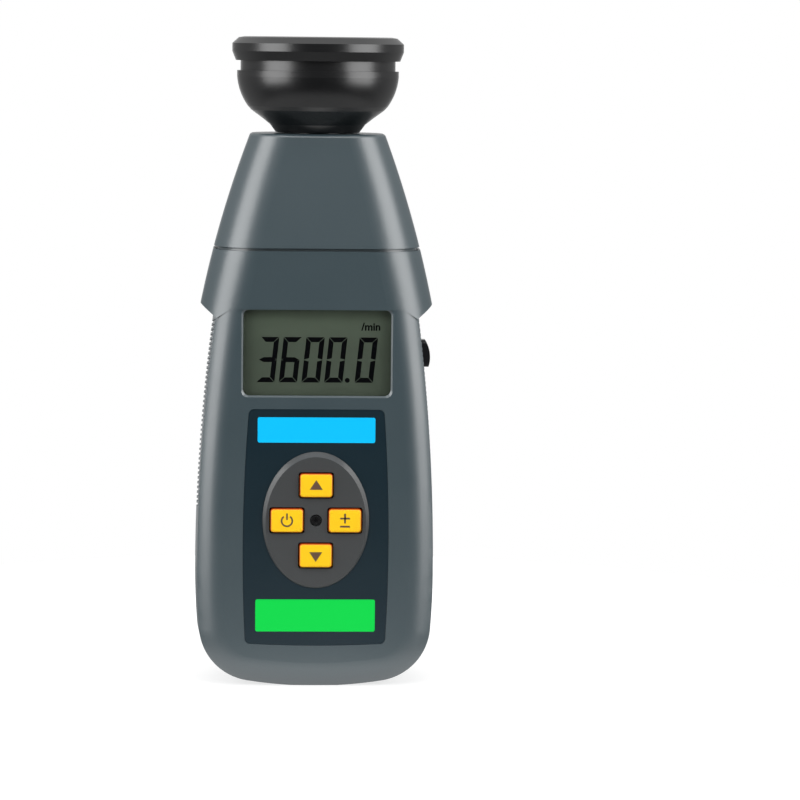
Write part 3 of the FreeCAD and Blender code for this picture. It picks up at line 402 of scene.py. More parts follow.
# %% [markdown]
# ## Clear pieces
# Two kinds of clear plastic are here. The flat windows only need to let the view through and to
# shine a little, so they are thin black gloss at a low alpha, which also lets the lamps' light in. The
# small lamps bend light like real lenses, so they are solid clear resin with transmission.

# %% Clear finishes
def window_finish(name, alpha, gloss, shine):
    material, tree, shader, place = new_material(name)
    patches = use_group(tree, mottle, place, Patches_per_metre=90.0)
    shader.inputs["Base Color"].default_value = screen_colour(12, 14, 18)
    tree.links.new(spread(tree, patches["Patch"], gloss * 0.6, gloss * 1.4), shader.inputs["Roughness"])
    shader.inputs["Alpha"].default_value = alpha
    shader.inputs["Specular IOR Level"].default_value = shine
    return material


def resin_finish():
    material, tree, shader, place = new_material("led_clear")
    patches = use_group(tree, mottle, place, Patches_per_metre=400.0)
    shader.inputs["Base Color"].default_value = screen_colour(246, 248, 250)
    shader.inputs["Transmission Weight"].default_value = 1.0
    shader.inputs["IOR"].default_value = 1.52
    tree.links.new(spread(tree, patches["Patch"], 0.01, 0.04), shader.inputs["Roughness"])
    return material


finish["clear_window"] = window_finish("clear_window", 0.14, 0.05, 0.5)
finish["display_glass"] = window_finish("display_glass", 0.04, 0.08, 0.05)
finish["led_clear"] = resin_finish()


# %% [markdown]
# ## The liquid crystal panel
# The panel is an olive grey film with nothing lit behind it. Close to its rim it gets painted shade,
# a darker copy of the olive standing in for the shadow of the window's edge. Towards its top it gets
# painted light, a paler copy that lifts the shade under the window's top lip. The finish mixes these
# tones by the place on the panel, over a very fine grain.

# %% Panel finish
def panel_finish():
    material, tree, shader, place = new_material("lcd_panel")
    low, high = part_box("display_window")
    centre = (low + high) / 2
    axes = axes_of(tree, place)
    # Painted shade: close to the panel's edges the olive is mixed towards a darker copy.
    rim = None
    for axis, half in (("X", (high.x - low.x) / 2), ("Z", (high.z - low.z) / 2)):
        away = math_node(tree, "SUBTRACT", axes[axis], getattr(centre, axis.lower()))
        share = math_node(tree, "DIVIDE", math_node(tree, "ABSOLUTE", away), half)
        steep = math_node(tree, "POWER", share, 14.0)
        rim = steep if rim is None else math_node(tree, "MAXIMUM", rim, steep)
    grains = use_group(tree, mould_grain, place, Grains_per_metre=5000.0)
    olive = screen_colour(86, 98, 82)
    film = colour_mix(tree, spread(tree, grains["Speck"], 0.0, 1.0), scaled(olive, 0.95), scaled(olive, 1.05))
    # Painted light: towards the top the olive is mixed towards a paler copy, lifting the shade under the
    # window's lip.
    upper = ramp(tree, axes["Z"], centre.z, high.z, 0.0, 1.0)
    paler = colour_mix(tree, upper, film, scaled(olive, 1.5))
    tree.links.new(colour_mix(tree, rim, paler, scaled(olive, 0.6)), shader.inputs["Base Color"])
    shader.inputs["Roughness"].default_value = 0.6
    return material


finish["lcd_panel"] = panel_finish()


# %% [markdown]
# ## Key plastic
# The keys are cast in a yellow that light sinks into. Seen from the front the face is bright yellow,
# and the side walls are a deep orange, because light travels further inside them. Light under the
# skin alone makes too little of this, so the finish also reads which way the surface faces.

# %% Key finish
def key_finish():
    material, tree, shader, place = new_material("key_yellow")
    surface = tree.nodes.new("ShaderNodeNewGeometry")
    axes = axes_of(tree, surface.outputs["Normal"])
    facing = math_node(tree, "MULTIPLY", axes["Y"], -1.0, clamp=True)
    face = math_node(tree, "POWER", facing, 3.0)
    grains = use_group(tree, mould_grain, place, Grains_per_metre=3000.0)
    yellow = screen_colour(255, 204, 0)
    flecks = spread(tree, grains["Speck"], 0.0, 1.0)
    lively = colour_mix(tree, flecks, scaled(yellow, 0.97), scaled(yellow, 1.0))
    tree.links.new(colour_mix(tree, face, screen_colour(196, 62, 0), lively), shader.inputs["Base Color"])
    shader.inputs["Roughness"].default_value = 0.5
    shader.inputs["Subsurface Weight"].default_value = 0.15
    shader.inputs["Subsurface Scale"].default_value = 0.0006
    bump(tree, shader, grains["Height"], 0.000004)
    return material


finish["key_yellow"] = key_finish()


# %% [markdown]
# ## Dressing the frame
# Each piece of the frame comes with a plain material whose name says what it is made of. Putting the
# finish of the same name in its place dresses all of them in one loop. Only the display's panel has a
# finish of its own.

# %% Dress the frame's own pieces
def slots_of_nodes():
    """Which finish each piece of the frame takes, by the name of the material it came with."""
    return {name: piece.data.materials[0].name.split(".")[0] for name, piece in nodes.items()}


for name, slot in slots_of_nodes().items():
    nodes[name].data.materials.clear()
    nodes[name].data.materials.append(finish["lcd_panel"] if name == "lcd_panel" else finish[slot])
print(len(nodes), "pieces dressed from", len(finish), "finishes")


# %% [markdown]
# ## Making meshes
# Every small piece is a skin between rings of points. A ring can be round or a rounded rectangle, and
# a list of rings with their own sizes gives a key, a lamp or a screw head. Once the ring is right, the
# rounding of an edge is only a few more rings.


# %% Mesh helpers
def show(name, data):
    """A new object in the scene."""
    made = bpy.data.objects.new(name, data)
    bpy.context.scene.collection.objects.link(made)
    return made


def join(bm, rows):
    """Faces between rows of corners, one after the other."""
    for here, following in zip(rows, rows[1:]):
        for index in range(len(here)):
            after = (index + 1) % len(here)
            bm.faces.new((here[index], here[after], following[after], following[index]))


def skin(bm, rings):
    """Joins rings of points and closes both ends."""
    rows = [[bm.verts.new(point) for point in ring] for ring in rings]
    join(bm, rows)
    bm.faces.new(rows[0])
    bm.faces.new(rows[-1])


def make_piece(name, build, material, body="housing", stands_for=(), crease=35.0):
    """Builds a mesh, gives it its finish and hands it to the frame."""
    bm = bmesh.new()
    build(bm)
    bmesh.ops.recalc_face_normals(bm, faces=bm.faces)
    mesh = bpy.data.meshes.new(name)
    bm.to_mesh(mesh)
    bm.free()
    mesh.materials.append(material)
    mesh.shade_smooth()
    mesh.set_sharp_from_angle(angle=math.radians(crease))
    piece = show(name, mesh)
    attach(piece, body)
    if stands_for:
        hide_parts(*stands_for)
    print(name, "has", len(mesh.polygons), "faces")


def round_ring(centre, radius, axis, count=32):
    """A circle of points round an axis that is X, Y or Z."""
    across, up = {"X": ("y", "z"), "Y": ("x", "z"), "Z": ("x", "y")}[axis]
    points = []
    for index in range(count):
        angle = 2 * math.pi * index / count
        point = Vector(centre)
        setattr(point, across, getattr(point, across) + radius * math.cos(angle))
        setattr(point, up, getattr(point, up) + radius * math.sin(angle))
        points.append(point)
    return points


def soft_rectangle(width, height, corner, x, y, z, steps=6):
    """A rounded rectangle of points that faces -Y."""
    points = []
    for turn, (side, level) in enumerate(((1, 1), (-1, 1), (-1, -1), (1, -1))):
        for step in range(steps + 1):
            angle = math.radians(90 * (turn + step / steps))
            across = side * (width / 2 - corner) + corner * math.cos(angle)
            up = level * (height / 2 - corner) + corner * math.sin(angle)
            points.append(Vector((x + across, y, z + up)))
    return points


def slab(bm, outline, y0, y1):
    """A flat shape with thickness, from (x, z) points."""
    skin(bm, [[Vector((x, y, z)) for x, z in outline] for y in (y0, y1)])


# %% [markdown]
# ## The reading
# A liquid crystal digit is seven separate bars with mitred ends and a hair of space between them. They
# lean by a few degrees. A typeface draws digits as whole strokes, so the bars are made here one by one,
# as thin solids on the panel, right behind the window.

# %% Digits
digit_height = 13.9 * MM
digit_width = 5.6 * MM
digit_bar = 1.5 * MM
bar_gap = 0.13 * MM
digit_lean = math.tan(math.radians(6.0))
digit_pitch = 6.95 * MM
point_room = 2.4 * MM
first_digit_x = -18.6 * MM
digit_low_z = 94.3 * MM
point_radius = 0.75 * MM
point_aside = 1.5 * MM
point_rise = 0.7 * MM
print_thickness = 0.04 * MM
panel_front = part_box("lcd_panel")[0].y
bars_of = {
    "0": "abcdef", "1": "bc", "2": "abged", "3": "abgcd", "4": "fgbc",
    "5": "afgcd", "6": "afgedc", "7": "abc", "8": "abcdefg", "9": "abfgcd",
}


def bar_outline(letter):
    """The corners of one bar of a digit, before it leans."""
    w, h, t, g = digit_width, digit_height, digit_bar, bar_gap
    middle = h / 2
    top = [(g, h), (w - g, h), (w - t - g, h - t), (t + g, h - t)]
    left = [(0, h - g), (t, h - t - g), (t, middle + t / 4 + g), (0, middle + g)]
    centre = [(t + g, middle + t / 2), (w - t - g, middle + t / 2), (w - g, middle),
              (w - t - g, middle - t / 2), (t + g, middle - t / 2), (g, middle)]
    shapes = {
        "a": top,
        "b": [(w - x, z) for x, z in left],
        "c": [(w - x, h - z) for x, z in left],
        "d": [(x, h - z) for x, z in top],
        "e": [(x, h - z) for x, z in left],
        "f": left,
        "g": centre,
    }
    return shapes[letter]


def build_reading(bm, reading="3600.0"):
    """The bars of every digit, and the point after the fourth."""
    x = first_digit_x
    for mark in reading:
        if mark == ".":
            point_x = x - digit_pitch + digit_width + point_aside
            rings = []
            for y in (panel_front - print_thickness, panel_front):
                rings.append(round_ring((point_x, y, digit_low_z + point_rise), point_radius, "Y", 20))
            skin(bm, rings)
            x += point_room
            continue
        for letter in bars_of[mark]:
            outline = [(x + u + v * digit_lean, digit_low_z + v) for u, v in bar_outline(letter)]
            slab(bm, outline, panel_front - print_thickness, panel_front)
        x += digit_pitch


add_finish("lcd_ink", 3, 3, 4, gloss=0.6, wear=0.0, shine=0.05)
make_piece("lcd_digits", build_reading, finish["lcd_ink"])


# %% [markdown]
# ## The unit mark
# The unit stands small and bold over the last digit. Drawing its letters point by point would take
# long, so it is a text object with a little thickness, turned into a mesh.

# %% Unit mark
letter_weight = 0.08 * MM
unit_size = 3.3 * MM
unit_x = 16.5 * MM
unit_z = 111.4 * MM


def make_text(name, words, size, centre, material, body="housing"):
    """Printed letters that face -Y, centred on a point of a surface."""
    curve = bpy.data.curves.new(name, "FONT")
    curve.body = words
    curve.size = size
    curve.align_x = "CENTER"
    curve.align_y = "CENTER"
    curve.extrude = print_thickness / 2
    curve.offset = letter_weight
    text = show(name + "_text", curve)
    text.rotation_euler = (math.radians(90), 0, 0)
    text.location = Vector(centre) - Vector((0, print_thickness / 2, 0))
    bpy.context.view_layer.update()
    mesh = bpy.data.meshes.new_from_object(text)
    mesh.transform(text.matrix_world)
    bpy.data.objects.remove(text)
    mesh.materials.clear()
    mesh.materials.append(material)
    piece = show(name, mesh)
    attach(piece, body)
    print(name, "has", len(mesh.polygons), "faces")


make_text("lcd_unit", "/min", unit_size, (unit_x, panel_front, unit_z), finish["lcd_ink"])


# %% [markdown]
# ## Keys
# A key cap narrows towards its face and has a soft edge all round. A box with a bevel would keep
# upright walls and a flat face. A skin of rings starts at the flange behind the pad and ends in a
# slightly crowned face, so the light rolls over it.

# %% Key caps
key_draft = 0.3 * MM
key_round = 0.45 * MM
key_corner = 0.9 * MM
key_crown = 0.06 * MM
key_flange = 1.05 * MM
key_flange_thickness = 1.0 * MM
key_stem_radius = 1.5 * MM
key_wall_depth = 2.9 * MM
key_names = ("up", "down", "power", "fine")
key_face = {}


def key_cap_rings(x, z, width, height, face_y, foot_y):
    """Rings from the foot of a key to its crowned face."""
    rings = [soft_rectangle(width, height, key_corner, x, foot_y, z)]
    shoulder_y = face_y + key_round
    for step in range(6):
        angle = math.radians(90 * step / 5)
        inset = key_draft + key_round * (1 - math.cos(angle))
        y = shoulder_y - key_round * math.sin(angle)
        rings.append(soft_rectangle(width - 2 * inset, height - 2 * inset, key_corner, x, y, z))
    for share in (0.8, 0.55, 0.25):
        inset = key_draft + key_round
        w = (width - 2 * inset) * share
        h = (height - 2 * inset) * share
        corner = min(key_corner, h / 2.2) * share
        y = face_y - key_crown * (1 - share ** 2)
        rings.append(soft_rectangle(w, h, corner, x, y, z))
    return rings


def make_key(name):
    """A key that fills its box in the frame: cap, flange and stem."""
    low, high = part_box("key_" + name)
    x = (low.x + high.x) / 2
    z = (low.z + high.z) / 2
    width = high.x - low.x - 2 * key_flange
    height = high.z - low.z - 2 * key_flange
    face_y = low.y + key_crown
    wall_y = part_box("front_case")[0].y + key_wall_depth
    flange_y = wall_y + key_flange_thickness
    key_face[name] = (x, low.y, z)

    def build(bm):
        skin(bm, key_cap_rings(x, z, width, height, face_y, wall_y))
        flange_rings = []
        for y in (wall_y, flange_y):
            flange_rings.append(soft_rectangle(high.x - low.x, high.z - low.z, key_corner, x, y, z))
        skin(bm, flange_rings)
        skin(bm, [round_ring((x, y, z), key_stem_radius, "Y") for y in (flange_y, high.y)])

    make_piece("key_cap_" + name, build, finish["key_yellow"], "key_" + name,
               ("key_" + name,), 50.0)


for name in key_names:
    make_key(name)


# %% [markdown]
# ## Marks on the keys
# Plain signs say what each key does: an arrow up, an arrow down, the sign for power, and plus and
# minus for the fine setting. Each is a thin print on the key's face, made from its corners, and it
# travels with the key.

# %% Key marks
arrow_size = 2.0 * MM
ring_radius = 1.9 * MM
ring_gap = 70
stroke = 0.5 * MM
power_bar = 2.0 * MM
power_bar_rise = 1.3 * MM
sign_stroke = 0.55 * MM
sign_width = 3.0 * MM
plus_rise = 0.8 * MM
minus_drop = 1.7 * MM


def bar_shape(x, z, width, height):
    """The corners of an upright rectangle round a centre."""
    return [(x - width / 2, z - height / 2), (x + width / 2, z - height / 2),
            (x + width / 2, z + height / 2), (x - width / 2, z + height / 2)]


def arrow_shape(x, z, size, way):
    """The corners of a triangle that points up or down."""
    return [(x - size, z - way * size * 0.6), (x + size, z - way * size * 0.6), (x, z + way * size * 0.9)]


def open_ring(x, z, radius, width, gap_degrees, steps=24):
    """The outer and the inner points of a ring that is open at the top."""
    outer = []
    inner = []
    for step in range(steps + 1):
        angle = math.radians(90 + gap_degrees / 2 + (360 - gap_degrees) * step / steps)
        outer.append((x + radius * math.cos(angle), z + radius * math.sin(angle)))
        inner.append((x + (radius - width) * math.cos(angle), z + (radius - width) * math.sin(angle)))
    return outer, inner


def make_mark(name, build):
    """A sign that rides on the body of its key."""
    make_piece("key_mark_" + name, build, finish["key_ink"], "key_" + name)


def add_print(bm, outline, face_y):
    """A thin print that reaches down into the key's crowned face."""
    slab(bm, outline, face_y - print_thickness / 2, face_y + key_crown)


add_finish("key_ink", 96, 70, 52, gloss=0.5, wear=0.0)


def build_arrow(name, way):
    x, face_y, z = key_face[name]

    def build(bm):
        add_print(bm, arrow_shape(x, z, arrow_size, way), face_y)

    return build


def build_power(bm):
    x, face_y, z = key_face["power"]
    outer, inner = open_ring(x, z, ring_radius, stroke, ring_gap)
    for index in range(len(outer) - 1):
        quad = [outer[index], outer[index + 1], inner[index + 1], inner[index]]
        add_print(bm, quad, face_y)
    add_print(bm, bar_shape(x, z + power_bar_rise, stroke, power_bar), face_y)


def build_plus_minus(bm):
    x, face_y, z = key_face["fine"]
    add_print(bm, bar_shape(x, z + plus_rise, sign_width, sign_stroke), face_y)
    add_print(bm, bar_shape(x, z + plus_rise, sign_stroke, sign_width), face_y)
    add_print(bm, bar_shape(x, z - minus_drop, sign_width, sign_stroke), face_y)


make_mark("up", build_arrow("up", 1))
make_mark("down", build_arrow("down", -1))
make_mark("power", build_power)
make_mark("fine", build_plus_minus)


# %% [markdown]
# ## The lamps
# The head holds eighteen clear lamps in two circles. Each is a resin body with a domed end, and inside
# it a small reflector cup on a bent lead with a yellow phosphor drop. The dome magnifies the drop, so
# the inside pieces matter more than their size suggests.

# %% Lamp places
led_radius = 2.5 * MM
led_flange = 2.9 * MM
led_count_inner = 6
led_count_outer = 12
led_ring_inner = 7.65 * MM
led_ring_outer = 15.3 * MM
board_low, board_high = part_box("led_board")
led_base_z = board_high.z
led_top_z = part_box("leds")[1].z


def led_places():
    places = []
    for count, radius in ((led_count_inner, led_ring_inner), (led_count_outer, led_ring_outer)):
        for index in range(count):
            angle = 2 * math.pi * (index + 0.5) / count
            places.append((radius * math.cos(angle), radius * math.sin(angle), angle))
    return places


print(len(led_places()), "lamps on a board", round((board_high.x - board_low.x) / MM, 1), "mm wide")


# %% Lamp bodies
flange_top = led_base_z + 1.0 * MM
body_foot = led_base_z + 1.1 * MM


def build_led_bodies(bm):
    """Clear bodies with a collar at the foot and a dome on top."""
    top = led_top_z - led_radius
    for x, y, _ in led_places():
        profile = [(led_flange, led_base_z), (led_flange, flange_top), (led_radius, body_foot)]
        for step in range(9):
            angle = math.radians(88 * step / 8)
            profile.append((led_radius * math.cos(angle), top + led_radius * math.sin(angle)))
        skin(bm, [round_ring((x, y, z), radius, "Z", 28) for radius, z in profile])


make_piece("led_bodies", build_led_bodies, finish["led_clear"],
           stands_for=("leds",), crease=50.0)


# %% Lamp leads and reflector cups
# Radius and height over the board of each ring, in mm.
cup_profile = ((0.3, 0.4), (0.35, 3.0), (0.8, 3.6), (0.95, 4.6), (0.8, 4.6), (0.45, 4.1))
lead_profile = ((0.28, 0.4), (0.28, 4.3), (0.4, 4.6), (0.1, 4.6))
drop_profile = ((0.42, 4.2), (0.7, 4.5), (0.5, 4.68), (0.1, 4.75))
lead_aside = 1.35 * MM
lead_turn = 1.2


def turned(bm, x, y, profile, count=16):
    """A turned body that stands upright on the board."""
    rings = []
    for radius, height in profile:
        rings.append(round_ring((x, y, led_base_z + height * MM), radius * MM, "Z", count))
    skin(bm, rings)


def build_led_cups(bm):
    """In each lamp, the cup on its lead and the second lead beside it."""
    for x, y, angle in led_places():
        turned(bm, x, y, cup_profile)
        turn = angle + lead_turn
        turned(bm, x + lead_aside * math.cos(turn), y + lead_aside * math.sin(turn), lead_profile, 10)


def build_led_drops(bm):
    """The yellow drop that fills each cup."""
    for x, y, _ in led_places():
        turned(bm, x, y, drop_profile)


add_finish("phosphor", 250, 226, 60, gloss=0.6, speck=0.05, wear=0.0)
make_piece("led_cups", build_led_cups, finish["bright_metal"])
make_piece("led_drops", build_led_drops, finish["phosphor"])


# %% [markdown]
# ## Print on the lamp board
# A circuit board carries a white outline round each lamp. It could be painted by the board's finish,
# but as a thin flat ring of its own, just above the lacquer, it stays crisp from close by.

# %% Board print
outline_inner = led_flange + 0.15 * MM
outline_outer = led_flange + 0.32 * MM


def build_board_print(bm):
    low = led_base_z
    high = led_base_z + print_thickness
    for x, y, _ in led_places():
        rows = []
        corners = ((outline_inner, low), (outline_outer, low), (outline_outer, high), (outline_inner, high))
        for radius, z in corners:
            rows.append([bm.verts.new(p) for p in round_ring((x, y, z), radius, "Z", 36)])
        join(bm, rows + rows[:1])


make_piece("led_board_print", build_board_print, finish["frame_white"])


# %% [markdown]
# ## Screws
# Pan head screws with a cross recess close the case and the nose from behind. Cutting the cross out of
# a dome can leave ragged faces, so it is one more ring of the head, which sinks in.

# %% Screw heads
# Radius of the shank, radius of the head and the head's height.
large_screw = (1.3 * MM, 2.4 * MM, 1.5 * MM)
board_screw = (1.0 * MM, 2.0 * MM, 1.5 * MM)
small_screw = (1.0 * MM, 1.6 * MM, 0.6 * MM)
recess_arm = 0.62
recess_half = 0.15
screw_spacing = 6.0 * MM


def cross_ring(x, y, z, arm, half, count):
    """A cross of points that faces along Y."""
    points = []
    for index in range(count):
        angle = 2 * math.pi * (index + 0.5) / count
        c, s = abs(math.cos(angle)), abs(math.sin(angle))
        flat = min(arm / max(c, 1e-6), half / max(s, 1e-6))
        upright = min(arm / max(s, 1e-6), half / max(c, 1e-6))
        radius = max(flat, upright)
        points.append(Vector((x + radius * math.cos(angle), y, z + radius * math.sin(angle))))
    return points


def even_ring(x, y, z, radius, count):
    """A circle of points that faces along Y and matches the cross point for point."""
    points = []
    for index in range(count):
        angle = 2 * math.pi * (index + 0.5) / count
        points.append(Vector((x + radius * math.cos(angle), y, z + radius * math.sin(angle))))
    return points


def add_screw(bm, x, z, seat_y, tip_y, shank, head, rise, out=1.0):
    """A screw whose head stands on its seat. Out is 1 for a head that faces +Y and -1 for -Y."""
    count = 64
    rings = [even_ring(x, tip_y, z, shank * 0.6, count), even_ring(x, tip_y + out * shank, z, shank, count),
             even_ring(x, seat_y, z, shank, count), even_ring(x, seat_y, z, head, count)]
    for step in range(6):
        angle = math.radians(70 * step / 5)
        radius = head * (0.55 + 0.45 * math.cos(angle) ** 0.6)
        rings.append(even_ring(x, seat_y + out * rise * (0.45 + 0.5 * math.sin(angle)), z, radius, count))
    arm, half = head * recess_arm, head * recess_half
    rings.append(cross_ring(x, seat_y + out * rise * 0.96, z, arm, half, count))
    rings.append(cross_ring(x, seat_y + out * rise * 0.3, z, arm * 0.6, half * 0.8, count))
    skin(bm, rings)


def screw_places(node):
    """The centre of every screw in a node of the frame, found from its corners."""
    centres = []
    for corner in nodes[node].data.vertices:
        spot = (corner.co.x, corner.co.z)
        for centre in centres:
            if math.hypot(spot[0] - centre[0][0], spot[1] - centre[0][1]) < screw_spacing:
                centre[1] = (min(centre[1][0], spot[0]), min(centre[1][1], spot[1]))
                centre[2] = (max(centre[2][0], spot[0]), max(centre[2][1], spot[1]))
                break
        else:
            centres.append([spot, spot, spot])
    return [((low[0] + high[0]) / 2, (low[1] + high[1]) / 2) for _, low, high in centres]


def make_screws(node, slot, shank, head, rise, body="housing", out=1.0):
    """Detailed screws in place of a node's plain ones."""
    low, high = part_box(node)
    seat_y = high.y - rise if out > 0 else low.y + rise
    tip_y = low.y if out > 0 else high.y

    def build(bm):
        for x, z in screw_places(node):
            add_screw(bm, x, z, seat_y, tip_y, shank, head, rise, out)

    make_piece(node + "_detailed", build, finish[slot], body, (node,), 40.0)


make_screws("case_screws", "screw_steel", *large_screw)
make_screws("nose_screws", "screw_steel", *large_screw)
make_screws("board_screws", "screw_steel", *board_screw)
make_screws("cover_screw", "screw_steel", *large_screw, body="battery_cover")
make_screws("keypad_screw", "black_steel", *small_screw, out=-1.0)


# %% [markdown]
# ## Battery springs
# The spring behind each cell is a cone of round wire, wide at its foot and narrow at the cell. Points
# follow a helix whose radius shrinks as it climbs, and a small circle drawn along them makes the wire.

# %% Springs
def tube(bm, points, radius, sides=10):
    """A round wire along a list of points."""
    rings = []
    for index, point in enumerate(points):
        before = points[max(index - 1, 0)]
        after = points[min(index + 1, len(points) - 1)]
        along = (after - before).normalized()
        if index == 0:
            side = along.orthogonal().normalized()
        else:
            side = (side - along * side.dot(along)).normalized()
        up = along.cross(side)
        ring = []
        for step in range(sides):
            angle = 2 * math.pi * step / sides
            ring.append(point + side * (radius * math.cos(angle)) + up * (radius * math.sin(angle)))
        rings.append(ring)
    skin(bm, rings)


def spring_places():
    """Centre, foot and tip of each spring: every other cell stands on its spring."""
    low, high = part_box("contact_springs")
    places = []
    cells = sorted(name for name in nodes if name.startswith("battery_cell_"))
    for index, name in enumerate(cells):
        cell_low, cell_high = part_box(name)
        x = (cell_low.x + cell_high.x) / 2
        y = (cell_low.y + cell_high.y) / 2
        if index % 2:
            places.append((Vector((x, y, low.z)), cell_low.z - low.z))
        else:
            places.append((Vector((x, y, high.z)), cell_high.z - high.z))
    return places


def build_springs(bm, turns=3.5, wire=0.3 * MM, wide=3.2 * MM, narrow=1.9 * MM, steps=28):
    for foot, rise in spring_places():
        way = math.copysign(1.0, rise)
        reach = abs(rise) - 2 * wire
        points = []
        for step in range(int(turns * steps) + 1):
            share = step / (turns * steps)
            angle = 2 * math.pi * turns * share
            radius = (wide - wire) + (narrow - wide) * share
            lift = way * (wire + reach * share)
            points.append(foot + Vector((radius * math.cos(angle), radius * math.sin(angle), lift)))
        tube(bm, points, wire)


make_piece("battery_springs", build_springs, finish["bright_metal"],
           stands_for=("contact_springs",), crease=60.0)


# %% [markdown]
# ## The studio
# The instrument stands on a round pale table in front of a white backdrop, with a dark room behind
# the camera. The table ends a little more than a hand's length in front, so its pale reflection fades
# out on the way up the flat front. A glow that the camera sees, also through glass, makes the table
# white, more so towards the rim. It lights nothing, hides the rim and keeps the shadow. Shiny edges near
# the foot see a glow round it too, as they would mirror a white table.

# %% Table
table_reach = 0.24
glow_start = 0.06
glow_full = 0.16
glow_near = 0.72
mirror_start = 0.03
mirror_end = 0.075
mirror_strength = 0.9


def table_finish():
    material, tree, shader, place = new_material("studio_table")
    patches = use_group(tree, mottle, place, Patches_per_metre=8.0)
    pale = screen_colour(150, 150, 150)
    tree.links.new(colour_mix(tree, spread(tree, patches["Patch"], 0.0, 1.0), scaled(pale, 0.99), pale),
                   shader.inputs["Base Color"])
    shader.inputs["Roughness"].default_value = 0.6
    shader.inputs["Specular IOR Level"].default_value = 0.2
    shader.inputs["Emission Color"].default_value = (1.0, 1.0, 1.0, 1.0)
    away = tree.nodes.new("ShaderNodeVectorMath")
    away.operation = "LENGTH"
    tree.links.new(place, away.inputs[0])
    path = tree.nodes.new("ShaderNodeLightPath")
    seen = math_node(tree, "MAXIMUM", path.outputs["Is Camera Ray"], path.outputs["Is Transmission Ray"])
    white = ramp(tree, away.outputs["Value"], glow_start, glow_full, glow_near, 1.0)
    foot_white = ramp(tree, away.outputs["Value"], mirror_start, mirror_end, mirror_strength, 0.0)
    glow = math_node(tree, "MULTIPLY", seen, white)
    mirrored = math_node(tree, "MULTIPLY", path.outputs["Is Glossy Ray"], foot_white)
    tree.links.new(math_node(tree, "MAXIMUM", glow, mirrored), shader.inputs["Emission Strength"])
    return material


def make_table(count=96):
    bm = bmesh.new()
    bm.faces.new([bm.verts.new(point) for point in round_ring((0, 0, 0), table_reach, "Z", count)])
    mesh = bpy.data.meshes.new("table")
    bm.to_mesh(mesh)
    bm.free()
    mesh.materials.append(table_finish())
    table = show("table", mesh)
    print("table is", 2 * table_reach, "m across")


make_table()


# %% [markdown]
# ## The light in the room
# What a glossy thing shows is the room round it, so the room matters as much as the lamps. Here it is
# pale behind the instrument, where the backdrop is, dark behind the camera and brighter overhead. The
# direction of the ray picks the brightness. The camera sees plain white everywhere, and so does glass.
# A shiny edge mirrors the white backdrop only where its ray goes straight back to it.

# %% World
room_strength = 0.04
backdrop_strength = 0.30
ceiling_strength = 0.80
room_turn = (-0.3, 0.5)
mirror_turn = (0.85, 1.0)


def background(tree, strength):
    """White light whose strength is a number or a socket."""
    node = tree.nodes.new("ShaderNodeBackground")
    node.inputs["Color"].default_value = (1.0, 1.0, 1.0, 1.0)
    if isinstance(strength, float):
        node.inputs["Strength"].default_value = strength
    else:
        tree.links.new(strength, node.inputs["Strength"])
    return node.outputs[0]


def make_world():
    world = bpy.data.worlds.new("studio")
    world.use_nodes = True
    tree = world.node_tree
    tree.nodes.clear()
    direction = axes_of(tree, tree.nodes.new("ShaderNodeTexCoord").outputs["Generated"])
    way_back = direction["Y"]
    behind = ramp(tree, way_back, *room_turn, room_strength, backdrop_strength)
    upward = math_node(tree, "MAXIMUM", direction["Z"], 0.0)
    above = math_node(tree, "MULTIPLY", upward, ceiling_strength)
    path = tree.nodes.new("ShaderNodeLightPath")
    backdrop = ramp(tree, way_back, *mirror_turn, 0.0, 1.0)
    mirrored = math_node(tree, "MULTIPLY", path.outputs["Is Glossy Ray"], backdrop)
    room = math_node(tree, "MAXIMUM", math_node(tree, "ADD", behind, above), mirrored)
    seen = math_node(tree, "MAXIMUM", path.outputs["Is Camera Ray"], path.outputs["Is Transmission Ray"])
    either = tree.nodes.new("ShaderNodeMixShader")
    output = tree.nodes.new("ShaderNodeOutputWorld")
    tree.links.new(seen, either.inputs["Fac"])
    tree.links.new(background(tree, room), either.inputs[1])
    tree.links.new(background(tree, 1.0), either.inputs[2])
    tree.links.new(either.outputs[0], output.inputs["Surface"])
    bpy.context.scene.world = world
    print("The room glows from", room_strength, "in front to", backdrop_strength, "behind")


make_world()


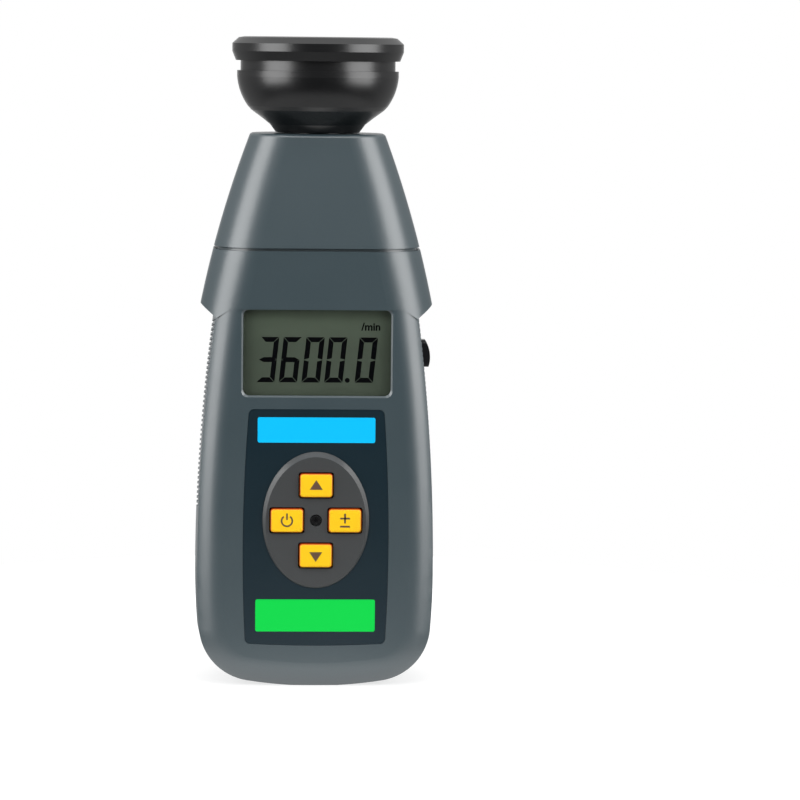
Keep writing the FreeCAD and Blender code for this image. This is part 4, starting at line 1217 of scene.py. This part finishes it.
# %% [markdown]
# ## Soft boxes
# Two tall soft boxes stand far out at the left and the right. A rounded edge sends their light to the
# camera where it faces halfway between the two, which gives the long pale bands down the case and the
# head. Lamps beside the camera would light the flat front instead and leave no bands. A third box, above
# and in front, lights the tops and fills the shadows.

# %% Soft boxes
side_angle = math.radians(63.0)
side_distance = 0.62
side_width = 0.50
side_height = 0.62
side_level = 0.26
side_power = 3.5
top_place = (0.0, -0.50, 0.75)
top_width = 0.70
top_height = 0.50
top_power = 2.4
lamp_aim = (0.0, 0.0, 0.10)


def soft_box(name, place, width, height, power):
    """A rectangle of light that faces the instrument."""
    light = bpy.data.lights.new(name, "AREA")
    light.shape = "RECTANGLE"
    light.size = width
    light.size_y = height
    light.energy = power
    lamp = show(name, light)
    lamp.location = place
    lamp.rotation_euler = (Vector(lamp_aim) - Vector(place)).to_track_quat("-Z", "Y").to_euler()
    print(name, "is", width, "by", height, "m")


for name, side in (("box_left", -1), ("box_right", 1)):
    place = (side * side_distance * math.sin(side_angle), -side_distance * math.cos(side_angle), side_level)
    soft_box(name, place, side_width, side_height, side_power)
soft_box("box_top", top_place, top_width, top_height, top_power)


# %% [markdown]
# ## The camera
# A long lens stands a metre in front and a little to the left, as high as the lamp's rim, so the rim
# shows as a straight line. A short lens close by would blow up the lamp head. The instrument is left
# of the middle of the picture, so the camera turns a little right, a little down, and leans slightly.

# %% Camera
camera_side = -24.1 * MM
camera_distance = 1.0
camera_height = 198.7 * MM
camera_lens = 145.4
turn_right = math.radians(2.89)
look_down = math.radians(6.35)
camera_roll = math.radians(0.63)

camera_data = bpy.data.cameras.new("camera")
camera_data.lens = camera_lens
camera_data.sensor_width = 36.0
camera = show("camera", camera_data)
heading = Matrix.Rotation(-turn_right, 4, "Z")
pitch = Matrix.Rotation(math.radians(90) - look_down, 4, "X")
roll = Matrix.Rotation(camera_roll, 4, "Z")
stand = Matrix.Translation((camera_side, -camera_distance, camera_height))
camera.matrix_world = stand @ heading @ pitch @ roll
bpy.context.scene.camera = camera
bpy.context.scene.view_settings.view_transform = "Standard"
print("Lens of", camera_lens, "mm,", round(camera_height / MM), "mm above the table")
